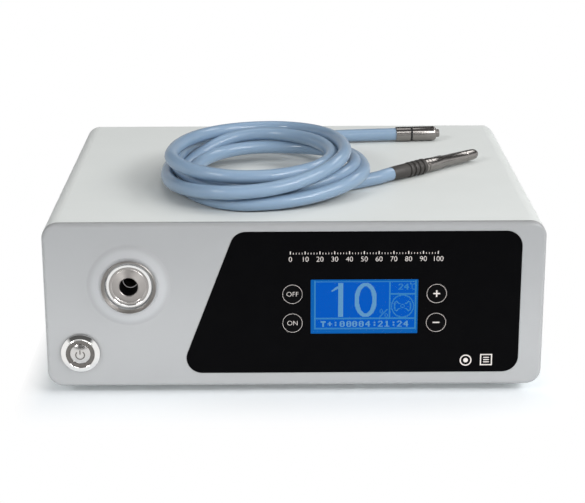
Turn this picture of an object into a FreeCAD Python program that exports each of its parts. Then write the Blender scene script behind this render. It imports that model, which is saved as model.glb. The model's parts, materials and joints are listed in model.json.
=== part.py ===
import FreeCAD, Part
import math
import os
import re
import Sketcher

# Fiber optic illuminator: LED light source housing with its light-guide cable coiled on the
# cover. Millimetres. Each piece is drawn in the housing frame: x from the middle, y back from
# the front face, z up from the underside of the tray. The housing frame is then set on its
# rubber feet, with the origin under the middle of the whole housing. The front faces -Y.

SIZES = {
    # housing shell
    "housing_width": 314, "housing_depth": 264, "housing_height": 108, "corner_round": 10,
    "sheet_metal": 1.5, "seam_gap": 0.3, "seam_rise": 4, "lap_height": 12, "panel_thick": 4,
    "front_edge_round": 2.5, "tongue_depth": 8, "tongue_wall": 2.5, "rear_inset": 1,
    "rear_thick": 2, "rear_fit": 0.4, "flange_height": 11.5, "flange_inset": 17,
    # vents
    "vent_width": 3, "side_vent_length": 34, "side_vent_pitch": 7, "side_vent_count": 9,
    "side_vent_start": 168, "side_vent_bottom": 44, "floor_vent_length": 40, "floor_vent_pitch": 8,
    "floor_vent_count": 10, "floor_vent_left": -38, "floor_vent_start": 34,
    # feet
    "foot_height": 6, "foot_radius": 9, "foot_taper": 1.5, "foot_inset": 30, "foot_recess": 3,
    "foot_recess_radius": 4,
    # screws
    "screw_radius": 1.5, "screw_head_radius": 2.75, "screw_head_height": 1.3, "screw_fit": 0.15,
    "screw_length": 6, "drive_radius": 1.2, "drive_depth": 0.8, "foot_screw_length": 6,
    "cover_screw_inset": 18, "rear_screw_inset": 35,
    "rear_screw_drop": 8,
    # control overlay and display
    "overlay_top": 102.4, "overlay_bottom": 9, "overlay_inset": 15.2, "overlay_reach_top": 66.5,
    "overlay_reach_low": 30.4, "overlay_round": 10, "overlay_thick": 1, "overlay_recess": 0.8,
    "overlay_fit": 0.15, "window_inset": 113.1, "window_z": 53, "window_width": 67.4,
    "window_height": 36.2, "window_round": 0.6, "window_thick": 0.8, "window_fit": 0.1,
    "lcd_width": 70, "lcd_height": 41, "lcd_gap": 0.3, "lcd_frame_width": 73,
    "lcd_frame_height": 48, "lcd_frame_depth": 5, "lcd_frame_lip": 0.8, "lcd_board_width": 75,
    "lcd_board_height": 53, "board_thick": 1.6, "header_length": 40, "header_width": 2.5,
    # keys
    "key_left_reach": 45.15, "key_right_reach": 45.3, "key_upper_z": 61.6, "key_lower_z": 42.4,
    "key_radius": 6.5, "key_fit": 0.1, "key_flange": 0.9, "key_flange_thick": 0.8,
    "key_hole_radius": 8, "stem_radius": 2, "key_travel": 0.4, "key_stop_gap": 0.2, "tact_size": 6,
    "tact_height": 3.5, "tact_plunger": 1.6, "tact_plunger_radius": 1.7,
    # control board
    "spacer_length": 12, "spacer_radius": 3, "control_board_width": 114,
    "control_board_height": 64, "control_board_z": 53, "spacer_edge": 5,
    "connector_width": 24, "connector_height": 5, "connector_depth": 7,
    # power push button
    "button_inset": 21.7, "button_z": 23.3, "bezel_radius": 12.3, "bezel_proud": 2.4,
    "bezel_land": 0.8, "bezel_slope": 1.1, "barrel_radius": 10.9, "barrel_length": 32, "barrel_fit": 0.2,
    "barrel_wall": 1.6, "gasket_thick": 0.6, "glow_ring_radius": 9.1, "glow_ring_thick": 3,
    "cap_radius": 6.6, "cap_fit": 0.1, "cap_recess": 0.4, "cap_length": 6, "plunger_radius": 2.5,
    "plunger_length": 8, "cap_flange": 1.2, "nut_thick": 4, "nut_radius": 15, "terminal_length": 7,
    "ring_seat": 1,
    # light port
    "port_inset": 53.6, "port_z": 67.9, "boss_radius": 26.3, "boss_height": 2.7,
    "boss_slope_angle": 70, "boss_round": 3, "collar_radius": 17.2, "collar_proud": 2.5,
    "collar_lip": 0.5, "collar_groove": 1.2, "socket_radius": 14.9, "socket_fit": 0.2,
    "rim_drop": 3.6, "rim_fall": 1.6, "rim_width": 2.4, "groove_depth": 0.8, "groove_width": 0.5,
    "face_radius": 10.9, "nose_rise": 2, "bore_radius": 5.8, "bore_chamfer": 0.4,
    "port_barrel_length": 24, "port_nut_radius": 19, "port_nut_thick": 5, "clamp_depth": 10,
    "clamp_thick": 1.2, "clamp_bore": 4.65, "clamp_groove": 0.8, "clamp_fit": 0.05,
    # light engine
    "tube_radius": 17, "tube_bore": 12, "tube_lap": 6, "lens_radius": 12, "lens_edge": 2,
    "lens_bulge": 3, "first_lens": 31, "second_lens": 44, "led_face": 62.5, "led_board_width": 50,
    "led_board_height": 28, "emitter_size": 10, "emitter_thick": 1.1, "sink_size": 74,
    "sink_base": 8, "sink_length": 108, "fin_thick": 2, "fin_count": 12, "bracket_thick": 2,
    "bracket_top": 47, "bracket_foot": 22,
    # fan
    "fan_size": 80, "fan_depth": 25, "fan_z": 54, "fan_opening": 38, "fan_hub": 17,
    "fan_hub_plate": 4, "fan_strut": 4, "fan_hole_inset": 4.25, "fan_hole_radius": 2.2,
    "rotor_front_gap": 2, "rotor_rear_gap": 0.5, "rotor_inner": 0.6, "blade_reach": 36,
    "blade_swing": 8, "blade_thick": 1.6, "blade_count": 7, "shaft_radius": 1.5, "shaft_fit": 0.05,
    "guard_height": 5, "guard_wire": 0.9, "guard_leg": 1.15, "guard_bar": 0.8,
    "guard_pitch": 8.5, "guard_first": 12, "guard_rings": 4,
    # mains inlet with fuse drawer
    "inlet_inset": 52, "inlet_z": 72, "inlet_width": 31, "inlet_height": 36, "inlet_flange": 2.5,
    "inlet_body_width": 27, "inlet_body_height": 31, "inlet_depth": 34, "inlet_fit": 0.3,
    "socket_width": 24, "socket_height": 16, "socket_depth": 18, "socket_drop": 6, "pin_width": 2,
    "pin_height": 4.5, "pin_spread": 7, "pin_rise": 3.5, "pin_reach": 15, "pin_tail": 7,
    "pin_fit": 0.05, "drawer_width": 22, "drawer_height": 7.4, "drawer_depth": 26,
    "drawer_rise": 9.6, "drawer_fit": 0.2, "drawer_face": 1.2, "drawer_wall": 1.2,
    "fuse_radius": 2.4, "fuse_length": 20, "fuse_spread": 4.6,
    # power supply
    "supply_inset": 72, "supply_rear_gap": 46, "supply_width": 100, "supply_length": 128,
    "supply_height": 36, "supply_wall": 1, "supply_post": 5, "supply_post_radius": 3,
    "supply_board_edge": 3, "terminal_width": 44, "terminal_height": 8, "terminal_depth": 12,
    "terminal_back": 8,
    # driver board
    "driver_gap": 8, "supply_gap": 6, "driver_start": 100, "driver_length": 90,
    "driver_rise": 10, "driver_spacer_radius": 2.5, "driver_edge": 4, "capacitor_radius": 6,
    "capacitor_height": 18, "coil_core_size": 18, "coil_core_height": 14,
    # wiring
    "ribbon_width": 20, "ribbon_thick": 1, "ribbon_inset": 23, "ribbon_z": 40, "wire_radius": 1.1,
    "wire_run": 11, "wire_spread": 1.8,
    # light-guide cable
    "cable_radius": 4.5, "lay_gap": 0.3, "coil_x": -18.2, "coil_depth": 111.5,
    "coil_half_width": 70.2, "coil_half_length": 93, "coil_hole_half_width": 36,
    "coil_hole_half_length": 60, "coil_layers": 3, "coil_round": 7, "source_heading": 41,
    "source_start_x": 68.2, "source_start_depth": 98.8, "source_exit_x": 56,
    "source_exit_depth": 87, "source_last_run": 9, "coil_stub": 26, "relief_length": 34,
    "relief_large_radius": 5.3, "relief_small_radius": 4.7, "relief_groove": 0.5,
    "relief_groove_width": 1.3, "relief_groove_pitch": 3.2, "relief_groove_count": 6,
    "relief_groove_start": 13,
    "collar_band_radius": 5.3, "collar_band_length": 5.6, "ferrule_rear_radius": 5,
    "ferrule_rear_length": 9.9, "ferrule_radius": 4.4,
    "ferrule_length": 42.9, "ferrule_tip_radius": 3.8, "ferrule_groove": 0.5,
    "ferrule_groove_width": 1.2, "ferrule_groove_back": 7, "fibre_radius": 2.4,
    "scope_exit_x": 12.9, "scope_exit_depth": 204.2, "scope_middle_x": 45,
    "scope_middle_depth": 209.4, "scope_end_x": 77.2, "scope_end_depth": 212.4,
    "sleeve_radius": 5.3, "sleeve_rear_length": 10.9, "sleeve_front_length": 18,
    "sleeve_groove": 0.6, "sleeve_groove_width": 1.2, "sleeve_taper": 3, "sleeve_end_radius": 3.9,
    "tip_radius": 2.2, "tip_length": 2,
}

doc = FreeCAD.newDocument("illuminator")
sheet = doc.addObject("Spreadsheet::Sheet", "Sizes")
for row, (alias, number) in enumerate(SIZES.items(), start=1):
    sheet.set(f"A{row}", alias)
    sheet.set(f"B{row}", str(number))
    sheet.setAlias(f"B{row}", alias)
doc.recompute()

WORD = re.compile(r"[a-z][a-z_0-9]*")
SUB_PARTS = {}

# places that several pieces share
FRONT_Y = "-(housing_depth + guard_height - rear_inset - boss_height - collar_proud) / 2"
SPLIT = "(corner_round + seam_rise)"
SHELL_START = "(panel_thick + seam_gap)"
SIDE_IN = "(housing_width / 2 - sheet_metal)"
TOP_IN = "(housing_height - sheet_metal)"
REAR_FACE = "(housing_depth - rear_inset)"
REAR_IN = "(housing_depth - rear_inset - rear_thick)"
SIDE_SCREW_Z = f"({SPLIT} + lap_height / 2)"
LCD_FRONT = "(panel_thick + lcd_gap)"
CONTROL_FRONT = "(panel_thick + spacer_length)"
COVER_TOP = "housing_height"
DECK = "(sheet_metal + driver_rise + board_thick)"
PORT_X = "(port_inset - housing_width / 2)"
BUTTON_X = "(button_inset - housing_width / 2)"
INLET_X = "(housing_width / 2 - inlet_inset)"
SUPPLY_X = "(housing_width / 2 - supply_inset)"
SUPPLY_START = "(housing_depth - supply_rear_gap - supply_length)"
WINDOW_X = "(housing_width / 2 - window_inset)"
KEY_LEFT_X = f"({WINDOW_X} - key_left_reach)"
KEY_RIGHT_X = f"({WINDOW_X} + key_right_reach)"
OVERLAY_RIGHT = "(housing_width / 2 - overlay_inset)"
OVERLAY_LEFT_TOP = f"({PORT_X} + overlay_reach_top)"
OVERLAY_LEFT_LOW = f"({PORT_X} + overlay_reach_low)"
DRIVER_LEFT = f"({PORT_X} + sink_size / 2 + driver_gap)"
DRIVER_RIGHT = f"({SUPPLY_X} - supply_width / 2 - supply_gap)"
DRIVER_X = f"(({DRIVER_LEFT} + {DRIVER_RIGHT}) / 2)"
DRIVER_WIDTH = f"({DRIVER_RIGHT} - {DRIVER_LEFT})"
RIBBON_X = f"({DRIVER_RIGHT} - ribbon_inset)"
LEAD_X = f"({DRIVER_X} - {DRIVER_WIDTH} * 0.3)"
FAN_REACH = "(fan_size / 2 - fan_hole_inset)"
FLANGE_SIDE = "(housing_width / 2 - flange_inset)"
REAR_SCREW_X = "(housing_width / 2 - rear_screw_inset)"
COVER_SCREW_MIDDLE = "(housing_depth / 2)"
COVER_SCREW_REAR = "(housing_depth - cover_screw_inset)"
PIN_PLACES = (("-pin_spread", "-pin_rise / 2"), ("0", "pin_rise / 2"), ("pin_spread", "-pin_rise / 2"))


def bound(text):
    """The expression with each size's name turned into its cell."""
    return WORD.sub(lambda m: "Sizes." + m.group(0) if m.group(0) in SIZES else m.group(0), text)


def value(text):
    return float(sheet.evalExpression(bound(text)))


def bind(item, **sizes):
    for name, text in sizes.items():
        item.setExpression(name, bound(text))


def place(item, x="0", y="0", z="0"):
    for axis, text in zip("xyz", (x, y, z)):
        item.setExpression(f"Placement.Base.{axis}", bound(text))


def sub_part(node, item, x="0", z="0"):
    """Names a finished piece and stands the housing frame on its feet."""
    item.Label = node
    place(item, x, FRONT_Y, f"foot_height + {z}")
    SUB_PARTS[node] = item


# ---------------------------------------------------------------- sketched features


def new_body(name):
    return doc.addObject("PartDesign::Body", name)


def origin_of(body, role):
    return next(item for item in body.Origin.OriginFeatures if item.Role == role)


def new_sketch(body, role, at="0"):
    """A sketch on an origin plane, moved to y = at on XZ, z = at on XY or x = at on YZ."""
    sketch = body.newObject("Sketcher::SketchObject", "outline")
    sketch.AttachmentSupport = [(origin_of(body, role), "")]
    sketch.MapMode = "FlatFace"
    offset = f"-({at})" if role == "XZ_Plane" else at
    sketch.setExpression("AttachmentOffset.Base.z", bound(offset))
    return sketch


def fix_point(sketch, geometry, end, x, y):
    """Ties one point of a sketch to two expressions."""
    for kind, text in (("DistanceX", x), ("DistanceY", y)):
        index = sketch.addConstraint(Sketcher.Constraint(kind, -1, 1, geometry, end, value(text)))
        sketch.setExpression(f"Constraints[{index}]", bound(text))


def add_circle(sketch, x, y, radius):
    middle = FreeCAD.Vector(value(x), value(y), 0)
    circle = Part.Circle(middle, FreeCAD.Vector(0, 0, 1), value(radius))
    index = sketch.addGeometry(circle)
    fix_point(sketch, index, 3, x, y)
    rule = sketch.addConstraint(Sketcher.Constraint("Radius", index, value(radius)))
    sketch.setExpression(f"Constraints[{rule}]", bound(radius))


def add_polygon(sketch, corners):
    points = [FreeCAD.Vector(value(x), value(y), 0) for x, y in corners]
    first = sketch.GeometryCount
    count = len(points)
    for i in range(count):
        sketch.addGeometry(Part.LineSegment(points[i], points[(i + 1) % count]))
    for i in range(count):
        following = first + (i + 1) % count
        sketch.addConstraint(Sketcher.Constraint("Coincident", first + i, 2, following, 1))
        fix_point(sketch, first + i, 1, *corners[i])


def add_rounded(sketch, corners, radius):
    """A convex outline, given anticlockwise, with the same radius on every corner."""
    points = [FreeCAD.Vector(value(x), value(y), 0) for x, y in corners]
    round_size = value(radius)
    count = len(points)
    first = sketch.GeometryCount
    arcs = []
    for i, point in enumerate(points):
        back = (points[i - 1] - point).normalize()
        ahead = (points[(i + 1) % count] - point).normalize()
        half = back.getAngle(ahead) / 2
        middle = point + (back + ahead).normalize() * (round_size / math.sin(half))
        inward = (point - middle).normalize()
        reach = round_size / math.tan(half)
        arcs.append((point + back * reach, middle + inward * round_size, point + ahead * reach))
    for i in range(count):
        sketch.addGeometry(Part.LineSegment(arcs[i][2], arcs[(i + 1) % count][0]))
    for arc in arcs:
        sketch.addGeometry(Part.Arc(*arc))
    for i in range(count):
        line, arc, following = first + i, first + count + i, first + count + (i + 1) % count
        sketch.addConstraint(Sketcher.Constraint("Tangent", arc, 2, line, 1))
        sketch.addConstraint(Sketcher.Constraint("Tangent", line, 2, following, 1))
        rule = sketch.addConstraint(Sketcher.Constraint("Radius", arc, round_size))
        sketch.setExpression(f"Constraints[{rule}]", bound(radius))
    for i in range(count):
        corner = sketch.addGeometry(Part.Point(points[i]), True)
        fix_point(sketch, corner, 1, *corners[i])
        sketch.addConstraint(Sketcher.Constraint("PointOnObject", corner, 1, first + i))
        sketch.addConstraint(Sketcher.Constraint("PointOnObject", corner, 1, first + (i - 1) % count))


def rectangle(left, right, bottom, top):
    return [(left, bottom), (right, bottom), (right, top), (left, top)]


def centred(x, z, width, height):
    return rectangle(f"{x} - ({width}) / 2", f"{x} + ({width}) / 2",
                     f"{z} - ({height}) / 2", f"{z} + ({height}) / 2")


def pad(body, sketch, length, forward=False):
    """Adds the outline as a solid, along +Y from an XZ sketch unless forward."""
    feature = body.newObject("PartDesign::Pad", "pad")
    feature.Profile = sketch
    bind(feature, Length=length)
    feature.Reversed = origin_role(sketch) == "XZ_Plane" and not forward
    return feature


def pocket(body, sketch, length=None, midplane=False):
    """Cuts the outline, towards +Y from an XZ sketch, and right through with no length."""
    feature = body.newObject("PartDesign::Pocket", "pocket")
    feature.Profile = sketch
    feature.Midplane = midplane
    if length is None:
        feature.Type = "ThroughAll"
    else:
        bind(feature, Length=length)
    return feature


def origin_role(sketch):
    return sketch.AttachmentSupport[0][0].Role


def plate(name, corners, at, thick):
    """A flat piece: an outline in XZ, starting at y = at."""
    body = new_body(name)
    outline = new_sketch(body, "XZ_Plane", at)
    add_polygon(outline, corners)
    pad(body, outline, thick)
    return body


def turned(name, corners, role="XY_Plane"):
    """A turned piece. Corners are (radius, place along the axis), the axis is the sketch's V."""
    body = new_body(name)
    sketch = new_sketch(body, role)
    add_polygon(sketch, corners)
    feature = body.newObject("PartDesign::Revolution", "turning")
    feature.Profile = sketch
    feature.ReferenceAxis = (sketch, ["V_Axis"])
    feature.Angle = 360
    return body


def round_edges(body, base, radius, wanted):
    """Rounds the edges of the last feature that wanted(edge) picks."""
    doc.recompute()
    names = [f"Edge{i}" for i, edge in enumerate(base.Shape.Edges, start=1) if wanted(edge)]
    feature = body.newObject("PartDesign::Fillet", "rounding")
    feature.Base = (base, names)
    bind(feature, Radius=radius)
    return feature


def along_y(x, z):
    """Picks the edges that run along Y through (x, z) or its mirror (-x, z)."""
    def wanted(edge):
        box = edge.BoundBox
        thin = max(box.XLength, box.ZLength) < 0.01
        return thin and abs(abs(box.Center.x) - value(x)) < 0.01 and abs(box.Center.z - value(z)) < 0.01
    return wanted


def flat_at(y):
    """Picks the edges that lie in the plane at y."""
    def wanted(edge):
        box = edge.BoundBox
        return box.YLength < 0.01 and abs(box.Center.y - value(y)) < 0.01
    return wanted


def in_line(body, feature, axis, pitch, count):
    pattern = body.newObject("PartDesign::LinearPattern", "row")
    pattern.Originals = [feature]
    pattern.Direction = (origin_of(body, axis), [""])
    bind(pattern, Length=f"{pitch} * ({count} - 1)", Occurrences=count)
    body.Tip = pattern
    return pattern


def round_axis(body, feature, axis, count):
    pattern = body.newObject("PartDesign::PolarPattern", "ring_of_copies")
    pattern.Originals = [feature]
    pattern.Axis = (origin_of(body, axis), [""])
    pattern.Angle = 360
    bind(pattern, Occurrences=count)
    body.Tip = pattern
    return pattern


# ---------------------------------------------------------------- primitives and booleans

TURN = {
    "X": FreeCAD.Rotation(FreeCAD.Vector(0, 1, 0), 90),
    "Y": FreeCAD.Rotation(FreeCAD.Vector(1, 0, 0), -90),
    "Z": FreeCAD.Rotation(),
}


def block(x, y, z, width, depth, height):
    item = doc.addObject("Part::Box", "block")
    bind(item, Length=width, Width=depth, Height=height)
    place(item, x, y, z)
    return item


def rod(axis, x, y, z, radius, length):
    item = doc.addObject("Part::Cylinder", "rod")
    item.Placement.Rotation = TURN[axis]
    bind(item, Radius=radius, Height=length)
    place(item, x, y, z)
    return item


def cone(axis, x, y, z, radius, end_radius, length):
    item = doc.addObject("Part::Cone", "cone")
    item.Placement.Rotation = TURN[axis]
    bind(item, Radius1=radius, Radius2=end_radius, Height=length)
    place(item, x, y, z)
    return item


def hoop(axis, x, y, z, radius, wire):
    item = doc.addObject("Part::Torus", "hoop")
    item.Placement.Rotation = TURN[axis]
    bind(item, Radius1=radius, Radius2=wire)
    place(item, x, y, z)
    return item


def six_sided(x, y, z, radius, length):
    """A hexagon bar along Y, radius to its corners."""
    item = doc.addObject("Part::Prism", "hexagon")
    item.Polygon = 6
    item.Placement.Rotation = TURN["Y"]
    bind(item, Circumradius=radius, Height=length)
    place(item, x, y, z)
    return item


def union(*items):
    fused = doc.addObject("Part::MultiFuse", "union")
    fused.Shapes = list(items)
    return fused


def cut(base, *tools):
    item = doc.addObject("Part::Cut", "cut")
    item.Base = base
    item.Tool = tools[0] if len(tools) == 1 else union(*tools)
    return item


def group(*items):
    """Separate solids that share one node."""
    item = doc.addObject("Part::Compound", "group")
    item.Links = list(items)
    return item


def along(axis, x, y, z, shift):
    """The place (x, y, z) moved along an axis by shift."""
    return [f"{start} + ({shift})" if letter == axis else start
            for letter, start in zip("XYZ", (x, y, z))]


def screw(axis, x, y, z, length, sign=1):
    """A pan-head screw: its head sits on (x, y, z), and its shank runs along sign * axis."""
    head_low = "-screw_head_height" if sign > 0 else "0"
    shank_low = "0" if sign > 0 else f"-({length})"
    drive_low = "-screw_head_height" if sign > 0 else "screw_head_height - drive_depth"
    head = rod(axis, *along(axis, x, y, z, head_low), "screw_head_radius", "screw_head_height")
    shank = rod(axis, *along(axis, x, y, z, shank_low), "screw_radius", length)
    drive = rod(axis, *along(axis, x, y, z, drive_low), "drive_radius", "drive_depth")
    return cut(union(head, shank), drive)


def flush_screw(x, y, z, sign):
    """A countersunk screw along X: its flat head is level with x, its shank runs along sign."""
    wide, narrow = "screw_head_radius", "screw_radius"
    head_low = "0" if sign > 0 else "-screw_head_height"
    shank_low = "0" if sign > 0 else "-screw_length"
    drive_low = "0" if sign > 0 else "-drive_depth"
    radii = (wide, narrow) if sign > 0 else (narrow, wide)
    head = cone("X", *along("X", x, y, z, head_low), *radii, "screw_head_height")
    shank = rod("X", *along("X", x, y, z, shank_low), "screw_radius", "screw_length")
    drive = rod("X", *along("X", x, y, z, drive_low), "drive_radius", "drive_depth")
    return cut(union(head, shank), drive)


# ---------------------------------------------------------------- housing shell


def outer_outline(sketch, inset="0"):
    """The housing's rounded cross-section, drawn in by inset."""
    corners = rectangle(f"-(housing_width / 2 - ({inset}))", f"housing_width / 2 - ({inset})",
                        inset, f"housing_height - ({inset})")
    add_rounded(sketch, corners, f"corner_round - ({inset})")


def overlay_corners(grow):
    """The slanted outline of the overlay, each straight side moved out by grow."""
    lean = f"({OVERLAY_LEFT_TOP} - {OVERLAY_LEFT_LOW}) / (overlay_top - overlay_bottom)"
    shift = f"({grow}) * (sqrt(1 + ({lean}) * ({lean})) - ({lean}))"
    low_shift = f"({grow}) * (sqrt(1 + ({lean}) * ({lean})) + ({lean}))"
    return [(f"{OVERLAY_LEFT_LOW} - {low_shift}", f"overlay_bottom - ({grow})"),
            (f"{OVERLAY_RIGHT} + ({grow})", f"overlay_bottom - ({grow})"),
            (f"{OVERLAY_RIGHT} + ({grow})", f"overlay_top + ({grow})"),
            (f"{OVERLAY_LEFT_TOP} - {shift}", f"overlay_top + ({grow})")]


KEYS = {
    "key_off": (KEY_LEFT_X, "key_upper_z"),
    "key_on": (KEY_LEFT_X, "key_lower_z"),
    "key_plus": (KEY_RIGHT_X, "key_upper_z"),
    "key_minus": (KEY_RIGHT_X, "key_lower_z"),
}
SIDE_SCREW_PLACES = ("panel_thick + tongue_depth / 2", COVER_SCREW_MIDDLE, COVER_SCREW_REAR)
REAR_SCREW_PLACES = [(x, z) for x in (f"-{REAR_SCREW_X}", "0", REAR_SCREW_X)
                     for z in ("rear_screw_drop", "housing_height - rear_screw_drop")]


def round_port(edge):
    """Picks the two circles round the light port's mound."""
    middle = edge.BoundBox.Center
    round_one = value("boss_radius") < edge.BoundBox.XLength < value("2.01 * boss_radius")
    near = abs(middle.x - value(PORT_X)) < 0.1 and abs(middle.z - value("port_z")) < 0.1
    return near and round_one and edge.BoundBox.YLength < 0.01


def make_front_panel():
    body = new_body("front_panel_body")
    front = new_sketch(body, "XZ_Plane")
    outer_outline(front)
    face = pad(body, front, "panel_thick")
    round_edges(body, face, "front_edge_round", flat_at("0"))
    tongue = new_sketch(body, "XZ_Plane", "panel_thick")
    outer_outline(tongue, "sheet_metal + seam_gap")
    outer_outline(tongue, "sheet_metal + seam_gap + tongue_wall")
    pad(body, tongue, "tongue_depth")
    ring = new_sketch(body, "XZ_Plane")
    add_circle(ring, PORT_X, "port_z", "boss_radius")
    boss = pad(body, ring, "boss_height", forward=True)
    bind(boss, TaperAngle="-boss_slope_angle")
    round_edges(body, boss, "boss_round", round_port)
    recess = new_sketch(body, "XZ_Plane")
    add_rounded(recess, overlay_corners("overlay_fit"), "overlay_round + overlay_fit")
    pocket(body, recess, "overlay_recess")
    openings = new_sketch(body, "XZ_Plane", "-boss_height")
    add_circle(openings, PORT_X, "port_z", "socket_radius + socket_fit")
    add_circle(openings, BUTTON_X, "button_z", "barrel_radius + barrel_fit")
    add_polygon(openings, centred(WINDOW_X, "window_z", "window_width", "window_height"))
    for x, z in KEYS.values():
        add_circle(openings, x, z, "key_hole_radius")
    pocket(body, openings)
    holes = [rod("X", side, SIDE_SCREW_PLACES[0], SIDE_SCREW_Z, "screw_radius + screw_fit",
                 "2 * sheet_metal + tongue_wall + 2 * seam_gap")
             for side in ("-housing_width / 2",
                          "housing_width / 2 - 2 * sheet_metal - tongue_wall - 2 * seam_gap")]
    sub_part("front_panel", cut(body, *holes))


def side_holes(radius):
    """Cylinders across both side walls at the cover screws."""
    return [rod("X", f"-housing_width / 2 - sheet_metal", y, SIDE_SCREW_Z, radius,
                "housing_width + 2 * sheet_metal") for y in SIDE_SCREW_PLACES]


def make_top_cover():
    body = new_body("top_cover_body")
    foot = f"{SPLIT} + seam_gap"
    profile = new_sketch(body, "XZ_Plane", SHELL_START)
    half = "housing_width / 2"
    add_polygon(profile, [
        (f"-{half}", foot), (f"-{SIDE_IN}", foot), (f"-{SIDE_IN}", TOP_IN), (SIDE_IN, TOP_IN),
        (SIDE_IN, foot), (half, foot), (half, "housing_height"), (f"-{half}", "housing_height")])
    shell = pad(body, profile, f"housing_depth - {SHELL_START}")
    outside = round_edges(body, shell, "corner_round", along_y(half, "housing_height"))
    round_edges(body, outside, "corner_round - sheet_metal", along_y(SIDE_IN, TOP_IN))
    flange = new_sketch(body, "XZ_Plane", f"{REAR_IN} - sheet_metal")
    add_polygon(flange, rectangle(f"-{FLANGE_SIDE}", FLANGE_SIDE,
                                  f"{TOP_IN} - flange_height", TOP_IN))
    pad(body, flange, "sheet_metal")
    slot = new_sketch(body, "YZ_Plane")
    add_rounded(slot, rectangle("side_vent_start", "side_vent_start + vent_width",
                                "side_vent_bottom", "side_vent_bottom + side_vent_length"),
                "vent_width * 0.4")
    first = pocket(body, slot, midplane=True)
    in_line(body, first, "Y_Axis", "side_vent_pitch", "side_vent_count")
    rear = [rod("Y", x, f"{REAR_IN} - 2 * sheet_metal", z, "screw_radius + screw_fit", "3 * sheet_metal")
            for x, z in REAR_SCREW_PLACES if "housing_height" in z]
    sinks = []
    for y in SIDE_SCREW_PLACES:
        wide, narrow = "screw_head_radius + screw_fit", "screw_radius + screw_fit"
        sinks.append(cone("X", "-housing_width / 2", y, SIDE_SCREW_Z, wide, narrow, "screw_head_height"))
        sinks.append(cone("X", "housing_width / 2 - screw_head_height", y, SIDE_SCREW_Z, narrow, wide,
                          "screw_head_height"))
    sub_part("top_cover", cut(body, *side_holes("screw_radius + screw_fit"), *sinks, *rear))


def make_base_tray():
    body = new_body("base_tray_body")
    half = "housing_width / 2"
    profile = new_sketch(body, "XZ_Plane", SHELL_START)
    add_polygon(profile, [
        (f"-{half}", "0"), (half, "0"), (half, SPLIT), (SIDE_IN, SPLIT), (SIDE_IN, "sheet_metal"),
        (f"-{SIDE_IN}", "sheet_metal"), (f"-{SIDE_IN}", SPLIT), (f"-{half}", SPLIT)])
    shell = pad(body, profile, f"housing_depth - {SHELL_START}")
    outside = round_edges(body, shell, "corner_round", along_y(half, "0"))
    round_edges(body, outside, "corner_round - sheet_metal", along_y(SIDE_IN, "sheet_metal"))
    laps = new_sketch(body, "XZ_Plane", "panel_thick + tongue_depth + 2 * seam_gap")
    for side in ("", "-"):
        outer, joint, inner = (f"{side}{SIDE_IN}", f"{side}({SIDE_IN} - seam_gap)",
                               f"{side}({SIDE_IN} - seam_gap - sheet_metal)")
        top = f"{SPLIT} + lap_height"
        add_polygon(laps, [(inner, "corner_round"), (outer, "corner_round"), (outer, SPLIT),
                           (joint, SPLIT), (joint, top), (inner, top)])
    pad(body, laps, f"{REAR_IN} - sheet_metal - panel_thick - tongue_depth - 4 * seam_gap")
    flange = new_sketch(body, "XZ_Plane", f"{REAR_IN} - sheet_metal")
    add_polygon(flange, rectangle(f"-{FLANGE_SIDE}", FLANGE_SIDE,
                                  "sheet_metal", "sheet_metal + flange_height"))
    pad(body, flange, "sheet_metal")
    slot = new_sketch(body, "XY_Plane", "sheet_metal")
    add_rounded(slot, rectangle("floor_vent_left", "floor_vent_left + vent_width",
                                "floor_vent_start", "floor_vent_start + floor_vent_length"),
                "vent_width * 0.4")
    first = pocket(body, slot)
    in_line(body, first, "X_Axis", "floor_vent_pitch", "floor_vent_count")
    rear = [rod("Y", x, f"{REAR_IN} - 2 * sheet_metal", z, "screw_radius + screw_fit", "3 * sheet_metal")
            for x, z in REAR_SCREW_PLACES if "housing_height" not in z]
    feet = [rod("Z", x, y, "-sheet_metal", "screw_radius + screw_fit", "3 * sheet_metal")
            for x, y in FOOT_PLACES]
    sub_part("base_tray", cut(body, *side_holes("screw_radius + screw_fit"), *rear, *feet))


def make_rear_panel():
    body = new_body("rear_panel_body")
    outline = new_sketch(body, "XZ_Plane", REAR_IN)
    outer_outline(outline, "sheet_metal + rear_fit")
    pad(body, outline, "rear_thick")
    openings = new_sketch(body, "XZ_Plane", REAR_IN)
    add_circle(openings, PORT_X, "fan_z", "fan_opening")
    add_polygon(openings, centred(INLET_X, "inlet_z", "inlet_body_width + 2 * inlet_fit",
                                  "inlet_body_height + 2 * inlet_fit"))
    for x, z in REAR_SCREW_PLACES:
        add_circle(openings, x, z, "screw_radius + screw_fit")
    for x, z in FAN_HOLES:
        add_circle(openings, x, z, "fan_hole_radius")
    pocket(body, openings)
    sub_part("rear_panel", body)


FOOT_PLACES = [(x, y) for x in ("-(housing_width / 2 - foot_inset)", "housing_width / 2 - foot_inset")
               for y in ("foot_inset", "housing_depth - foot_inset")]
FAN_HOLES = [(f"{PORT_X} {sx} {FAN_REACH}", f"fan_z {sz} {FAN_REACH}")
             for sx in "+-" for sz in "+-"]


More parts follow.
